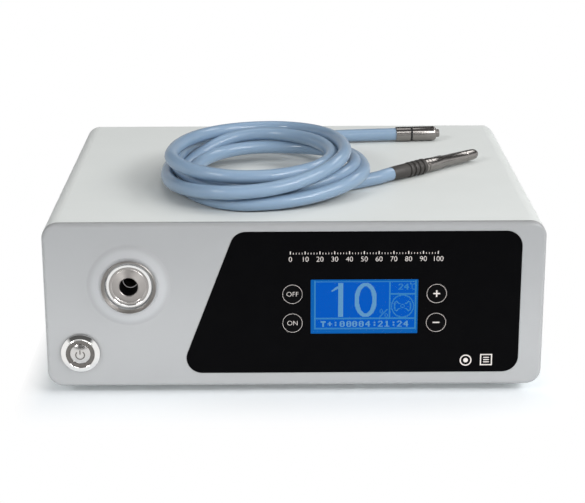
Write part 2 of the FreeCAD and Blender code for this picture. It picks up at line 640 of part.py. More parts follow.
def make_feet_and_screws():
    feet = []
    for x, y in FOOT_PLACES:
        foot = cone("Z", x, y, "-foot_height", "foot_radius - foot_taper", "foot_radius", "foot_height")
        recess = rod("Z", x, y, "-foot_height", "foot_recess_radius", "foot_recess")
        hole = rod("Z", x, y, "-foot_height", "screw_radius + screw_fit", "foot_height")
        feet.append(cut(foot, recess, hole))
    sub_part("rubber_feet", group(*feet))
    head_z = "-foot_height + foot_recess"
    sub_part("foot_screws", group(*[screw("Z", x, y, head_z, "foot_screw_length")
                                    for x, y in FOOT_PLACES]))
    side = [flush_screw("housing_width / 2", y, SIDE_SCREW_Z, -1) for y in SIDE_SCREW_PLACES]
    side += [flush_screw("-housing_width / 2", y, SIDE_SCREW_Z, 1) for y in SIDE_SCREW_PLACES]
    sub_part("cover_screws", group(*side))
    sub_part("rear_screws", group(*[screw("Y", x, REAR_FACE, z, "screw_length", -1)
                                    for x, z in REAR_SCREW_PLACES]))


# ---------------------------------------------------------------- control overlay, display, keys


def make_overlay():
    body = new_body("overlay_body")
    outline = new_sketch(body, "XZ_Plane", "overlay_recess - overlay_thick")
    add_rounded(outline, overlay_corners("0"), "overlay_round")
    pad(body, outline, "overlay_thick")
    openings = new_sketch(body, "XZ_Plane", "overlay_recess - overlay_thick")
    add_rounded(openings, centred(WINDOW_X, "window_z", "window_width", "window_height"),
                "window_round")
    for x, z in KEYS.values():
        add_circle(openings, x, z, "key_radius + key_fit")
    pocket(body, openings)
    sub_part("control_overlay", body)
    pane = new_body("window_body")
    outline = new_sketch(pane, "XZ_Plane", "overlay_recess - overlay_thick")
    add_rounded(outline, centred(WINDOW_X, "window_z", "window_width - 2 * window_fit",
                                 "window_height - 2 * window_fit"), "window_round")
    pad(pane, outline, "window_thick")
    sub_part("display_window", pane)


def make_display():
    frame = new_body("lcd_frame_body")
    front = new_sketch(frame, "XZ_Plane", LCD_FRONT)
    add_polygon(front, centred(WINDOW_X, "window_z", "lcd_frame_width", "lcd_frame_height"))
    pad(frame, front, "lcd_frame_depth")
    opening = new_sketch(frame, "XZ_Plane", LCD_FRONT)
    add_polygon(opening, centred(WINDOW_X, "window_z", "window_width", "window_height"))
    pocket(frame, opening)
    seat = new_sketch(frame, "XZ_Plane", f"{LCD_FRONT} + lcd_frame_lip")
    add_polygon(seat, centred(WINDOW_X, "window_z", "lcd_width + 2 * window_fit",
                              "lcd_height + 2 * window_fit"))
    pocket(frame, seat)
    sub_part("lcd_frame", frame)
    glass = plate("lcd_glass", centred(WINDOW_X, "window_z", "lcd_width", "lcd_height"),
                  f"{LCD_FRONT} + lcd_frame_lip", "lcd_frame_depth - lcd_frame_lip")
    sub_part("lcd_panel", glass)
    outline = centred(WINDOW_X, "window_z", "lcd_board_width", "lcd_board_height")
    sub_part("lcd_board", plate("lcd_board_body", outline, f"{LCD_FRONT} + lcd_frame_depth",
                                "board_thick"))
    back = f"{LCD_FRONT} + lcd_frame_depth + board_thick"
    strip = centred(WINDOW_X, "window_z + lcd_board_height / 2 - 1.5 * header_width",
                    "header_length", "header_width")
    sub_part("display_header", plate("header_body", strip, back, f"{CONTROL_FRONT} - ({back})"))


def board_corners():
    return [(f"{WINDOW_X} {sx} (control_board_width / 2 - spacer_edge)",
             f"control_board_z {sz} (control_board_height / 2 - spacer_edge)")
            for sx in "+-" for sz in "+-"]


def make_control_board():
    board = block(f"{WINDOW_X} - control_board_width / 2", CONTROL_FRONT,
                  "control_board_z - control_board_height / 2", "control_board_width",
                  "board_thick", "control_board_height")
    holes = [rod("Y", x, "panel_thick", z, "screw_radius + screw_fit", "2 * spacer_length")
             for x, z in board_corners()]
    connector = block(f"{RIBBON_X} - connector_width / 2", f"{CONTROL_FRONT} + board_thick",
                      "ribbon_z - connector_height / 2", "connector_width", "connector_depth",
                      "connector_height")
    sub_part("control_board", union(cut(board, *holes), connector))
    spacers = [cut(rod("Y", x, "panel_thick", z, "spacer_radius", "spacer_length"),
                   rod("Y", x, "panel_thick", z, "screw_radius + screw_fit", "spacer_length"))
               for x, z in board_corners()]
    sub_part("board_spacers", group(*spacers))
    rear = f"{CONTROL_FRONT} + board_thick"
    sub_part("board_screws", group(*[screw("Y", x, rear, z, "screw_length", -1)
                                     for x, z in board_corners()]))


def make_keys():
    front = "overlay_recess - overlay_thick"
    stem_end = f"{CONTROL_FRONT} - tact_height - tact_plunger - key_travel - key_stop_gap"
    switches = []
    for node, (x, z) in KEYS.items():
        disc = rod("Y", "0", front, "0", "key_radius", "overlay_thick")
        flange = rod("Y", "0", "overlay_recess", "0", "key_radius + key_flange", "key_flange_thick")
        stem = rod("Y", "0", "overlay_recess", "0", "stem_radius", f"{stem_end} - overlay_recess")
        sub_part(node, union(disc, flange, stem), x, z)
        base = block(f"{x} - tact_size / 2", f"{CONTROL_FRONT} - tact_height", f"{z} - tact_size / 2",
                     "tact_size", "tact_height", "tact_size")
        plunger = rod("Y", x, f"{CONTROL_FRONT} - tact_height - tact_plunger", z,
                      "tact_plunger_radius", "tact_plunger")
        switches.append(union(base, plunger))
    sub_part("tact_switches", group(*switches))


# ---------------------------------------------------------------- power push button


def make_power_switch():
    bezel_front = "-(gasket_thick + bezel_proud)"
    hole = "glow_ring_radius + cap_fit"
    inner = "barrel_radius - barrel_wall"
    seat = f"{bezel_front} + glow_ring_thick + cap_recess"
    body = turned("switch_body", [
        (hole, bezel_front), (f"{hole} + bezel_land", bezel_front),
        ("bezel_radius", f"{bezel_front} + bezel_slope"), ("bezel_radius", "-gasket_thick"),
        ("barrel_radius", "-gasket_thick"), ("barrel_radius", "barrel_length"),
        ("0", "barrel_length"), ("0", "barrel_length - 2 * barrel_wall"),
        (inner, "barrel_length - 2 * barrel_wall"), (inner, f"{seat} + ring_seat"),
        ("cap_radius + 2 * cap_fit + cap_flange", f"{seat} + ring_seat"),
        ("cap_radius + 2 * cap_fit + cap_flange", seat), (hole, seat)])
    terminals = [block(f"{x} - pin_width / 2", "barrel_length", f"{z} - pin_width / 4",
                       "pin_width", "terminal_length", "pin_width / 2")
                 for x in ("-barrel_radius / 2", "barrel_radius / 2")
                 for z in ("-barrel_radius / 2", "barrel_radius / 2")]
    sub_part("power_switch_body", union(body, *terminals), BUTTON_X, "button_z")
    ring = turned("switch_ring", [
        ("cap_radius + cap_fit", f"{bezel_front} + cap_recess"),
        ("glow_ring_radius", f"{bezel_front} + cap_recess"), ("glow_ring_radius", seat),
        ("cap_radius + cap_fit", seat)])
    sub_part("power_switch_ring", ring, BUTTON_X, "button_z")
    gasket = turned("switch_gasket", [
        ("barrel_radius + barrel_fit", "-gasket_thick"), ("bezel_radius - cap_fit", "-gasket_thick"),
        ("bezel_radius - cap_fit", "0"), ("barrel_radius + barrel_fit", "0")])
    sub_part("power_switch_gasket", gasket, BUTTON_X, "button_z")
    cap_front = f"{bezel_front} + cap_recess"
    flange_front = f"{seat} + cap_fit"
    cap = turned("switch_cap", [
        ("0", cap_front), ("cap_radius - cap_recess", cap_front),
        ("cap_radius", f"{cap_front} + cap_recess"), ("cap_radius", flange_front),
        ("cap_radius + cap_flange", flange_front), ("cap_radius + cap_flange", f"{cap_front} + cap_length"),
        ("plunger_radius", f"{cap_front} + cap_length"),
        ("plunger_radius", f"{cap_front} + cap_length + plunger_length"),
        ("0", f"{cap_front} + cap_length + plunger_length")])
    sub_part("power_button", cap, BUTTON_X, "button_z")
    nut = cut(six_sided("0", "panel_thick", "0", "nut_radius", "nut_thick"),
              rod("Y", "0", "panel_thick", "0", "barrel_radius", "nut_thick"))
    sub_part("power_switch_nut", nut, BUTTON_X, "button_z")


# ---------------------------------------------------------------- light port


def make_light_port():
    lip = "-(boss_height + collar_proud)"
    collar = turned("port_collar_body", [
        ("socket_radius + socket_fit", "-boss_height"), ("collar_radius - collar_lip", lip),
        ("collar_radius", f"{lip} + collar_lip"), ("collar_radius", f"-boss_height - collar_groove"),
        ("collar_radius - collar_lip", f"-boss_height - collar_groove"),
        ("collar_radius - collar_lip", "-boss_height")])
    sub_part("port_collar", collar, PORT_X, "port_z")
    rim = f"{lip} + rim_drop"
    step = "(socket_radius - rim_width)"
    nose = f"{rim} - nose_rise"
    groove_front, groove_rear = "clamp_depth", "clamp_depth + clamp_thick + 2 * clamp_fit"
    deep = "bore_radius + clamp_groove"
    crown = [(f"{step} + rim_width * {math.sin(math.radians(turn))}",
              f"{rim} + rim_fall * {1 - math.cos(math.radians(turn))}") for turn in range(0, 91, 15)]
    socket = turned("port_socket_body", [
        ("bore_radius", f"{nose} + bore_chamfer"), ("bore_radius + bore_chamfer", nose),
        ("face_radius", rim), (f"{step} - groove_width", rim),
        (f"{step} - groove_width", f"{rim} + groove_depth"), (step, f"{rim} + groove_depth"),
        *crown, ("socket_radius", "port_barrel_length"), ("bore_radius", "port_barrel_length"),
        ("bore_radius", groove_rear), (deep, groove_rear), (deep, groove_front),
        ("bore_radius", groove_front)])
    sub_part("port_socket", socket, PORT_X, "port_z")
    ring = turned("clamp_body", [
        ("clamp_bore", "clamp_depth + clamp_fit"), (f"{deep} - clamp_fit", "clamp_depth + clamp_fit"),
        (f"{deep} - clamp_fit", "clamp_depth + clamp_fit + clamp_thick"),
        ("clamp_bore", "clamp_depth + clamp_fit + clamp_thick")])
    sub_part("port_clamp_ring", ring, PORT_X, "port_z")
    nut = cut(six_sided("0", "panel_thick", "0", "port_nut_radius", "port_nut_thick"),
              rod("Y", "0", "panel_thick", "0", "socket_radius", "port_nut_thick"))
    sub_part("port_nut", nut, PORT_X, "port_z")


# ---------------------------------------------------------------- light engine


def make_light_engine():
    start = "port_barrel_length - tube_lap"
    end = "led_face - seam_gap"
    tube = turned("tube_body", [
        ("socket_radius", start), ("tube_radius", start), ("tube_radius", end),
        ("tube_bore", end), ("tube_bore", "port_barrel_length"),
        ("socket_radius", "port_barrel_length")])
    sub_part("lens_tube", tube, PORT_X, "port_z")
    ball = "((lens_radius * lens_radius + lens_bulge * lens_bulge) / (2 * lens_bulge))"
    lenses = []
    for name in ("first_lens", "second_lens"):
        crown = [(f"lens_radius * {share}",
                  f"{name} + {ball} - sqrt({ball} * {ball} - (lens_radius * {share}) ^ 2)")
                 for share in (0.3, 0.55, 0.8, 1)]
        rim = f"{name} + lens_bulge + lens_edge"
        lenses.append(turned(name + "_body", [("0", name)] + crown + [("lens_radius", rim), ("0", rim)]))
    sub_part("condenser_lenses", group(*lenses), PORT_X, "port_z")
    board = centred("0", "0", "led_board_width", "led_board_height")
    sub_part("led_board", plate("led_board_body", board, "led_face", "board_thick"), PORT_X, "port_z")
    chip = centred("0", "0", "emitter_size", "emitter_size")
    sub_part("led_emitter", plate("emitter_body", chip, "led_face - emitter_thick", "emitter_thick"),
             PORT_X, "port_z")
    sink = new_body("heat_sink_body")
    sink_front = "led_face + board_thick"
    base = new_sketch(sink, "XZ_Plane", sink_front)
    add_polygon(base, centred("0", "0", "sink_size", "sink_size"))
    pad(sink, base, "sink_base")
    fin = new_sketch(sink, "XZ_Plane", f"{sink_front} + sink_base")
    left = "-sink_size / 2"
    add_polygon(fin, rectangle(left, f"{left} + fin_thick", left, "sink_size / 2"))
    first = pad(sink, fin, "sink_length - sink_base")
    in_line(sink, first, "X_Axis", "(sink_size - fin_thick) / (fin_count - 1)", "fin_count")
    sub_part("heat_sink", sink, PORT_X, "port_z")
    bracket = new_body("bracket_body")
    side = new_sketch(bracket, "YZ_Plane", f"{PORT_X} - sink_size / 2")
    back = sink_front
    add_polygon(side, [(f"{back} - bracket_foot", "sheet_metal"), (back, "sheet_metal"),
                       (back, "bracket_top"), (f"{back} - bracket_thick", "bracket_top"),
                       (f"{back} - bracket_thick", "sheet_metal + bracket_thick"),
                       (f"{back} - bracket_foot", "sheet_metal + bracket_thick")])
    pad(bracket, side, "sink_size")
    sub_part("heat_sink_bracket", bracket)


# ---------------------------------------------------------------- fan


def make_fan():
    front, rear = f"({REAR_IN} - fan_depth)", REAR_IN
    shell = new_body("fan_shell")
    ring = new_sketch(shell, "XZ_Plane", front)
    add_rounded(ring, centred("0", "0", "fan_size", "fan_size"), "fan_strut")
    add_circle(ring, "0", "0", "fan_opening")
    for x in (f"-{FAN_REACH}", FAN_REACH):
        for z in (f"-{FAN_REACH}", FAN_REACH):
            add_circle(ring, x, z, "fan_hole_radius")
    pad(shell, ring, "fan_depth")
    plate = rod("Y", "0", f"{rear} - fan_hub_plate", "0", "fan_hub", "fan_hub_plate")
    across = block("-fan_opening - fan_strut / 8", f"{rear} - fan_hub_plate", "-fan_strut / 2",
                   "2 * fan_opening + fan_strut / 4", "fan_hub_plate", "fan_strut")
    upright = block("-fan_strut / 2", f"{rear} - fan_hub_plate", "-fan_opening - fan_strut / 8",
                    "fan_strut", "fan_hub_plate", "2 * fan_opening + fan_strut / 4")
    bearing = rod("Y", "0", f"{rear} - fan_hub_plate", "0", "shaft_radius + shaft_fit", "fan_hub_plate")
    sub_part("fan_frame", cut(union(shell, plate, across, upright), bearing), PORT_X, "fan_z")
    rotor = new_body("fan_rotor_body")
    hub_front = f"{front} + rotor_front_gap"
    hub_rear = f"{rear} - fan_hub_plate - rotor_rear_gap"
    hub = new_sketch(rotor, "XZ_Plane", hub_front)
    add_circle(hub, "0", "0", "fan_hub")
    pad(rotor, hub, f"{hub_rear} - ({hub_front})")
    shaft = new_sketch(rotor, "XZ_Plane", hub_rear)
    add_circle(shaft, "0", "0", "shaft_radius")
    pad(rotor, shaft, "rotor_rear_gap + fan_hub_plate - rotor_rear_gap / 2")
    blade = new_sketch(rotor, "XY_Plane", "fan_hub * rotor_inner")
    low, high = f"{hub_front} + rotor_front_gap / 2", f"{hub_rear} - rotor_front_gap / 2"
    add_polygon(blade, [("-blade_swing", low), ("-blade_swing + 2 * blade_thick", low),
                        ("blade_swing", high), ("blade_swing - 2 * blade_thick", high)])
    first = pad(rotor, blade, "blade_reach - fan_hub * rotor_inner")
    round_axis(rotor, first, "Y_Axis", "blade_count")
    sub_part("fan_rotor", rotor, PORT_X, "fan_z")
    wire_y = f"{REAR_FACE} + guard_height - guard_wire"
    reach = "(guard_first + guard_pitch * (guard_rings - 1))"
    hoops = [hoop("Y", "0", wire_y, "0", f"guard_first + guard_pitch * {i}", "guard_wire")
             for i in range(int(SIZES["guard_rings"]))]
    lean = FAN_REACH
    spokes = []
    for sx in (1, -1):
        for sz in (1, -1):
            corner_x, corner_z = f"{sx} * {lean}", f"{sz} * {lean}"
            eye = rod("Y", corner_x, REAR_FACE, corner_z, "2 * fan_hole_radius", "2 * guard_wire")
            eye_hole = rod("Y", corner_x, REAR_FACE, corner_z, "screw_radius + screw_fit",
                           "2 * guard_wire")
            leg = rod("Y", f"{corner_x} * {reach} / ({lean} * sqrt(2))", REAR_FACE,
                      f"{corner_z} * {reach} / ({lean} * sqrt(2))", "guard_leg",
                      "guard_height - 0.8 * guard_wire")
            foot = block("0", "0", "0", f"{lean} * sqrt(2) - {reach}", "1.7 * guard_wire",
                         "2 * guard_wire")
            foot.Placement.Rotation = FreeCAD.Rotation(
                FreeCAD.Vector(0, 1, 0), -math.degrees(math.atan2(sz, sx)))
            place(foot, f"{corner_x} * {reach} / ({lean} * sqrt(2))", REAR_FACE,
                  f"{corner_z} * {reach} / ({lean} * sqrt(2))")
            spokes.append(cut(union(eye, leg, foot), eye_hole))
    bar_y = f"{REAR_FACE} + guard_height - 1.7 * guard_wire"
    bars = [rod("X", f"-{reach}", bar_y, "0", "guard_bar", f"2 * {reach}"),
            rod("Z", "0", bar_y, f"-{reach}", "guard_bar", f"2 * {reach}")]
    sub_part("fan_guard", union(*hoops, *bars, *spokes), PORT_X, "fan_z")
    screws = [screw("Y", x, f"{REAR_FACE} + 2 * guard_wire", z, "2 * screw_length", -1)
              for x, z in FAN_HOLES]
    sub_part("fan_screws", group(*screws))


# ---------------------------------------------------------------- mains inlet


def inlet_pin_blocks(grow):
    """Three blades from inside the socket to the solder tails, thicker by grow on each side."""
    socket_back = f"({REAR_FACE} + inlet_flange - socket_depth)"
    start = f"{REAR_FACE} + inlet_flange - inlet_depth - pin_tail"
    length = f"{socket_back} + pin_reach - ({start})"
    blades = []
    for x, rise in PIN_PLACES:
        blades.append(block(f"{x} - pin_width / 2 - ({grow})", start,
                            f"-socket_drop + {rise} - pin_height / 2 - ({grow})",
                            f"pin_width + 2 * ({grow})", length, f"pin_height + 2 * ({grow})"))
    return blades


def make_mains_inlet():
    outer = f"{REAR_FACE} + inlet_flange"
    flange = block("-inlet_width / 2", REAR_FACE, "-inlet_height / 2", "inlet_width",
                   "inlet_flange", "inlet_height")
    core = block("-inlet_body_width / 2", f"{outer} - inlet_depth", "-inlet_body_height / 2",
                 "inlet_body_width", "inlet_depth - inlet_flange", "inlet_body_height")
    socket = block("-socket_width / 2", f"{outer} - socket_depth", "-socket_drop - socket_height / 2",
                   "socket_width", "socket_depth", "socket_height")
    drawer = block("-drawer_width / 2 - drawer_fit", f"{outer} - drawer_depth - drawer_fit",
                   "drawer_rise - drawer_height / 2 - drawer_fit", "drawer_width + 2 * drawer_fit",
                   "drawer_depth + drawer_fit", "drawer_height + 2 * drawer_fit")
    sub_part("mains_inlet", cut(union(flange, core), socket, drawer, *inlet_pin_blocks("pin_fit")),
             INLET_X, "inlet_z")
    sub_part("inlet_pins", group(*inlet_pin_blocks("0")), INLET_X, "inlet_z")
    slider = block("-drawer_width / 2", f"{outer} - drawer_depth", "drawer_rise - drawer_height / 2",
                   "drawer_width", "drawer_depth + drawer_face", "drawer_height")
    bay = block("-drawer_width / 2 + drawer_wall", f"{outer} - drawer_depth + drawer_wall",
                "drawer_rise - drawer_height / 2 + drawer_wall", "drawer_width - 2 * drawer_wall",
                "drawer_depth - 2 * drawer_wall", "drawer_height")
    grip = rod("X", "-drawer_width / 4", f"{outer} + drawer_face", "drawer_rise + drawer_height / 2",
               "drawer_wall", "drawer_width / 2")
    sub_part("fuse_drawer", cut(slider, bay, grip), INLET_X, "inlet_z")
    fuse_z = "drawer_rise - drawer_height / 2 + drawer_wall + fuse_radius + pin_fit"
    fuses = [rod("Y", x, f"{outer} - drawer_depth / 2 - fuse_length / 2", fuse_z, "fuse_radius",
                 "fuse_length") for x in ("-fuse_spread", "fuse_spread")]
    sub_part("fuses", group(*fuses), INLET_X, "inlet_z")


# ---------------------------------------------------------------- power supply and driver


def make_power_supply():
    left, low = f"{SUPPLY_X} - supply_width / 2", "sheet_metal"
    box = block(left, SUPPLY_START, low, "supply_width", "supply_length", "supply_height")
    inside = block(f"{left} + supply_wall", f"{SUPPLY_START} - supply_wall", f"{low} + supply_wall",
                   "supply_width - 2 * supply_wall", "supply_length", "supply_height - 2 * supply_wall")
    spots = [(f"{SUPPLY_X} {sx} (supply_width / 2 - 3 * supply_post_radius)",
              f"{SUPPLY_START} + supply_length / 2 {sy} (supply_length / 2 - 4 * supply_post_radius)")
             for sx in "+-" for sy in "+-"]
    posts = [rod("Z", x, y, f"{low} + supply_wall", "supply_post_radius", "supply_post")
             for x, y in spots]
    top = f"{low} + supply_height"
    terminal = block(f"{INLET_X} - terminal_width / 2",
                     f"{SUPPLY_START} + supply_length - terminal_back - terminal_depth", top,
                     "terminal_width", "terminal_depth", "terminal_height")
    sub_part("supply_case", union(cut(box, inside), *posts, terminal))
    board_z = f"{low} + supply_wall + supply_post"
    gap = "supply_wall + supply_board_edge"
    board = block(f"{left} + {gap}", f"{SUPPLY_START} + supply_board_edge", board_z,
                  f"supply_width - 2 * ({gap})", f"supply_length - 2 * ({gap})", "board_thick")
    deck = f"{board_z} + board_thick"
    transformer = block(f"{SUPPLY_X} - coil_core_size", f"{SUPPLY_START} + supply_length / 2", deck,
                        "2 * coil_core_size", "2 * coil_core_size", "1.3 * coil_core_height")
    caps = [rod("Z", f"{SUPPLY_X} {side} 2 * coil_core_size", f"{SUPPLY_START} + supply_length / 4", deck,
                "1.3 * capacitor_radius", "capacitor_height") for side in "+-"]
    sub_part("supply_board", union(board, transformer, *caps))


def make_driver():
    left, low = f"{DRIVER_X} - {DRIVER_WIDTH} / 2", "sheet_metal + driver_rise"
    spots = [(f"{DRIVER_X} {sx} ({DRIVER_WIDTH} / 2 - driver_edge)",
              f"driver_start + driver_length / 2 {sy} (driver_length / 2 - driver_edge)")
             for sx in "+-" for sy in "+-"]
    board = new_body("driver_board_body")
    outline = new_sketch(board, "XY_Plane", low)
    add_polygon(outline, rectangle(left, f"{DRIVER_X} + {DRIVER_WIDTH} / 2", "driver_start",
                                   "driver_start + driver_length"))
    pad(board, outline, "board_thick")
    sub_part("driver_board", board)
    sub_part("driver_spacers", group(*[rod("Z", x, y, "sheet_metal", "driver_spacer_radius", "driver_rise")
                                       for x, y in spots]))
    deck = f"{low} + board_thick"
    caps = [rod("Z", f"{DRIVER_X} + {offset}", "driver_start + driver_length * 0.75", deck,
                "capacitor_radius", "capacitor_height")
            for offset in (f"{DRIVER_WIDTH} / 3", f"{DRIVER_WIDTH} / 3 - 2.5 * capacitor_radius")]
    chokes = [block(f"{DRIVER_X} - {DRIVER_WIDTH} / 3 + {offset}", "driver_start + driver_length * 0.35",
                    deck, "coil_core_size", "coil_core_size", "coil_core_height")
              for offset in ("0", "1.4 * coil_core_size")]
    socket = block(f"{RIBBON_X} - connector_width / 2", "driver_start + driver_edge", deck,
                   "connector_width", "connector_depth", "connector_height")
    lead_socket = block(f"{LEAD_X} - connector_height", "driver_start + driver_edge", deck,
                        "2 * connector_height", "connector_depth", "connector_height")
    sub_part("driver_parts", group(*caps, *chokes, socket, lead_socket))


# ---------------------------------------------------------------- cables


def rounded_path(points):
    """Straight runs joined by tangent arcs of 0.45 of the shorter run, and the arcs' radii."""
    edges, radii = [], []
    start = points[0]
    for before, corner, after in zip(points, points[1:], points[2:]):
        back, ahead = before - corner, after - corner
        half = back.getAngle(ahead) / 2
        reach = 0.45 * min(back.Length, ahead.Length)
        radius = reach * math.tan(half)
        back.normalize()
        ahead.normalize()
        middle = corner + (back + ahead).normalize() * (radius / math.sin(half))
        enter, leave = corner + back * reach, corner + ahead * reach
        top = middle + (corner - middle).normalize() * radius
        edges.append(Part.LineSegment(start, enter).toShape())
        edges.append(Part.Arc(enter, top, leave).toShape())
        radii.append(radius)
        start = leave
    edges.append(Part.LineSegment(start, points[-1]).toShape())
    return Part.Wire(edges), radii


def tube_along(name, points, radius):
    """A round solid along a rounded path, checked against its section times its length."""
    path, radii = rounded_path(points)
    ring = Part.Wire(Part.makeCircle(radius, points[0], points[1] - points[0]))
    solid = path.makePipeShell([ring], True, False)
    expected = math.pi * radius ** 2 * path.Length
    if abs(solid.Volume / expected - 1) > 0.01:
        raise RuntimeError(f"{name}: volume {solid.Volume:.1f}, expected {expected:.1f}")
    print(name, "length", round(path.Length, 1), "bend radii", [round(r) for r in radii])
    return solid


def route(spots):
    return [FreeCAD.Vector(value(x), value(y), value(z)) for x, y, z in spots]


def solid_feature(name, shape):
    item = doc.addObject("Part::Feature", name)
    item.Shape = shape
    return item


def make_ribbon():
    flat = new_body("ribbon_body")
    side = new_sketch(flat, "YZ_Plane", f"{RIBBON_X} - ribbon_width / 2")
    begin = f"{CONTROL_FRONT} + board_thick + connector_depth"
    low = f"{DECK} + connector_height / 2"
    middle = [(begin, "ribbon_z"), (f"{begin} + 16", "ribbon_z"),
              ("driver_start - 24", low), ("driver_start + driver_edge", low)]
    under = [(y, f"{z} - ribbon_thick / 2") for y, z in middle]
    over = [(y, f"{z} + ribbon_thick / 2") for y, z in reversed(middle)]
    add_polygon(side, under + over)
    pad(flat, side, "ribbon_width")
    sub_part("ribbon_cable", flat)


def make_wires():
    tails = f"({REAR_FACE} + inlet_flange - inlet_depth - pin_tail)"
    top = "(sheet_metal + supply_height + terminal_height)"
    wires = []
    for x, rise in PIN_PLACES:
        height = f"(inlet_z - socket_drop + {rise})"
        slope = f"0.45 * ({height} - {top})"
        spots = [(f"{INLET_X} + {x}", tails, height),
                 (f"{INLET_X} + {x}", f"{tails} - wire_run", height),
                 (f"{INLET_X} + {x}", f"{tails} - wire_run - {slope}", f"{height} - {slope}"),
                 (f"{INLET_X} + {x}", f"{tails} - wire_run - {slope}", top)]
        wires.append(tube_along("mains wire", route(spots), SIZES["wire_radius"]))
    sub_part("mains_wires", solid_feature("mains_wires", Part.makeCompound(wires)))
    start = f"{PORT_X} + led_board_width / 2 - 3"
    height = "port_z + 9"
    low = f"{DECK} + connector_height / 2"
    leads = []
    for shift in ("-wire_spread", "wire_spread"):
        spots = [(f"{start} + {shift}", "led_face", height),
                 (f"{start} + {shift}", "led_face - 27", height),
                 (f"{start} + 19 + {shift}", "led_face - 29", "port_z - 19"),
                 (f"{LEAD_X} - 8 + {shift}", "led_face - 6", "port_z - 43"),
                 (f"{LEAD_X} + {shift}", "driver_start - 20", low),
                 (f"{LEAD_X} + {shift}", "driver_start + driver_edge", low)]
        leads.append(tube_along("led lead", route(spots), SIZES["wire_radius"]))
    sub_part("led_lead", solid_feature("led_lead", Part.makeCompound(leads)))


def heading(degrees):
    """Turns local Z to point along the cover, degrees from +X towards the back."""
    return FreeCAD.Rotation(FreeCAD.Vector(0, 0, 1), degrees) * TURN["X"]


def turned_on_cable(name, corners):
    """A turned piece whose axis is local Z, for the two cable ends."""
    return turned(name, corners, "XZ_Plane")


def lay_on_cover(node, item, x, depth, height, degrees):
    """Lays a turned cable piece on the cover with its axis along the heading."""
    item.Label = node
    item.Placement.Rotation = heading(degrees)
    place(item, x, f"{FRONT_Y} + {depth}", f"foot_height + {height}")
    SUB_PARTS[node] = item


def make_light_cable():
    source_height = f"{COVER_TOP} + lay_gap + relief_large_radius"
    scope_height = f"{COVER_TOP} + lay_gap + sleeve_radius"
    low = f"{COVER_TOP} + lay_gap"
    rise = "2 * cable_radius * coil_layers"
    rings = []
    for half_length, half_width in (("coil_half_length", "coil_half_width"),
                                    ("coil_hole_half_length", "coil_hole_half_width")):
        curve = doc.addObject("Part::Ellipse", "oval")
        bind(curve, MajorRadius=half_length, MinorRadius=half_width)
        curve.Placement.Rotation = FreeCAD.Rotation(FreeCAD.Vector(0, 0, 1), 90)
        place(curve, "coil_x", "coil_depth", low)
        solid = doc.addObject("Part::Extrusion", "oval_block")
        solid.Base = curve
        solid.DirMode = "Custom"
        solid.Dir = (0, 0, 1)
        solid.Solid = True
        bind(solid, LengthFwd=rise)
        rings.append(solid)
    doc.recompute()
    softened = doc.addObject("Part::Fillet", "softened")
    softened.Base = rings[0]
    radius = SIZES["coil_round"]
    softened.Edges = [(i, radius, radius) for i, edge in enumerate(rings[0].Shape.Edges, start=1)
                      if edge.BoundBox.ZLength < 0.01 and edge.BoundBox.ZMin > value(f"{low} + 1")]
    source_spots = [("source_exit_x", "source_exit_depth", source_height),
                    ("source_start_x - source_last_run * cos(source_heading * 1deg)",
                     "source_start_depth - source_last_run * sin(source_heading * 1deg)", source_height),
                    ("source_start_x", "source_start_depth", source_height)]
    scope_spots = [("scope_exit_x", "scope_exit_depth", scope_height),
                   ("scope_middle_x", "scope_middle_depth", scope_height),
                   ("scope_end_x", "scope_end_depth", scope_height)]
    stubs = []
    for spots in (source_spots, scope_spots):
        start, following = route(spots)[:2]
        stub = doc.addObject("Part::Cylinder", "stub")
        bind(stub, Radius="cable_radius", Height="coil_stub")
        stub.Placement.Rotation = FreeCAD.Rotation(FreeCAD.Vector(0, 0, 1), start - following)
        place(stub, *spots[0])
        stubs.append(stub)
    sub_part("cable_coil", union(cut(softened, rings[1]), *stubs))
    for node, spots in (("cable_tail_source", source_spots), ("cable_tail_scope", scope_spots)):
        sub_part(node, solid_feature(node, tube_along(node, route(spots), SIZES["cable_radius"])))
    make_source_end(source_height, SIZES["source_heading"])
    make_scope_end(scope_height)


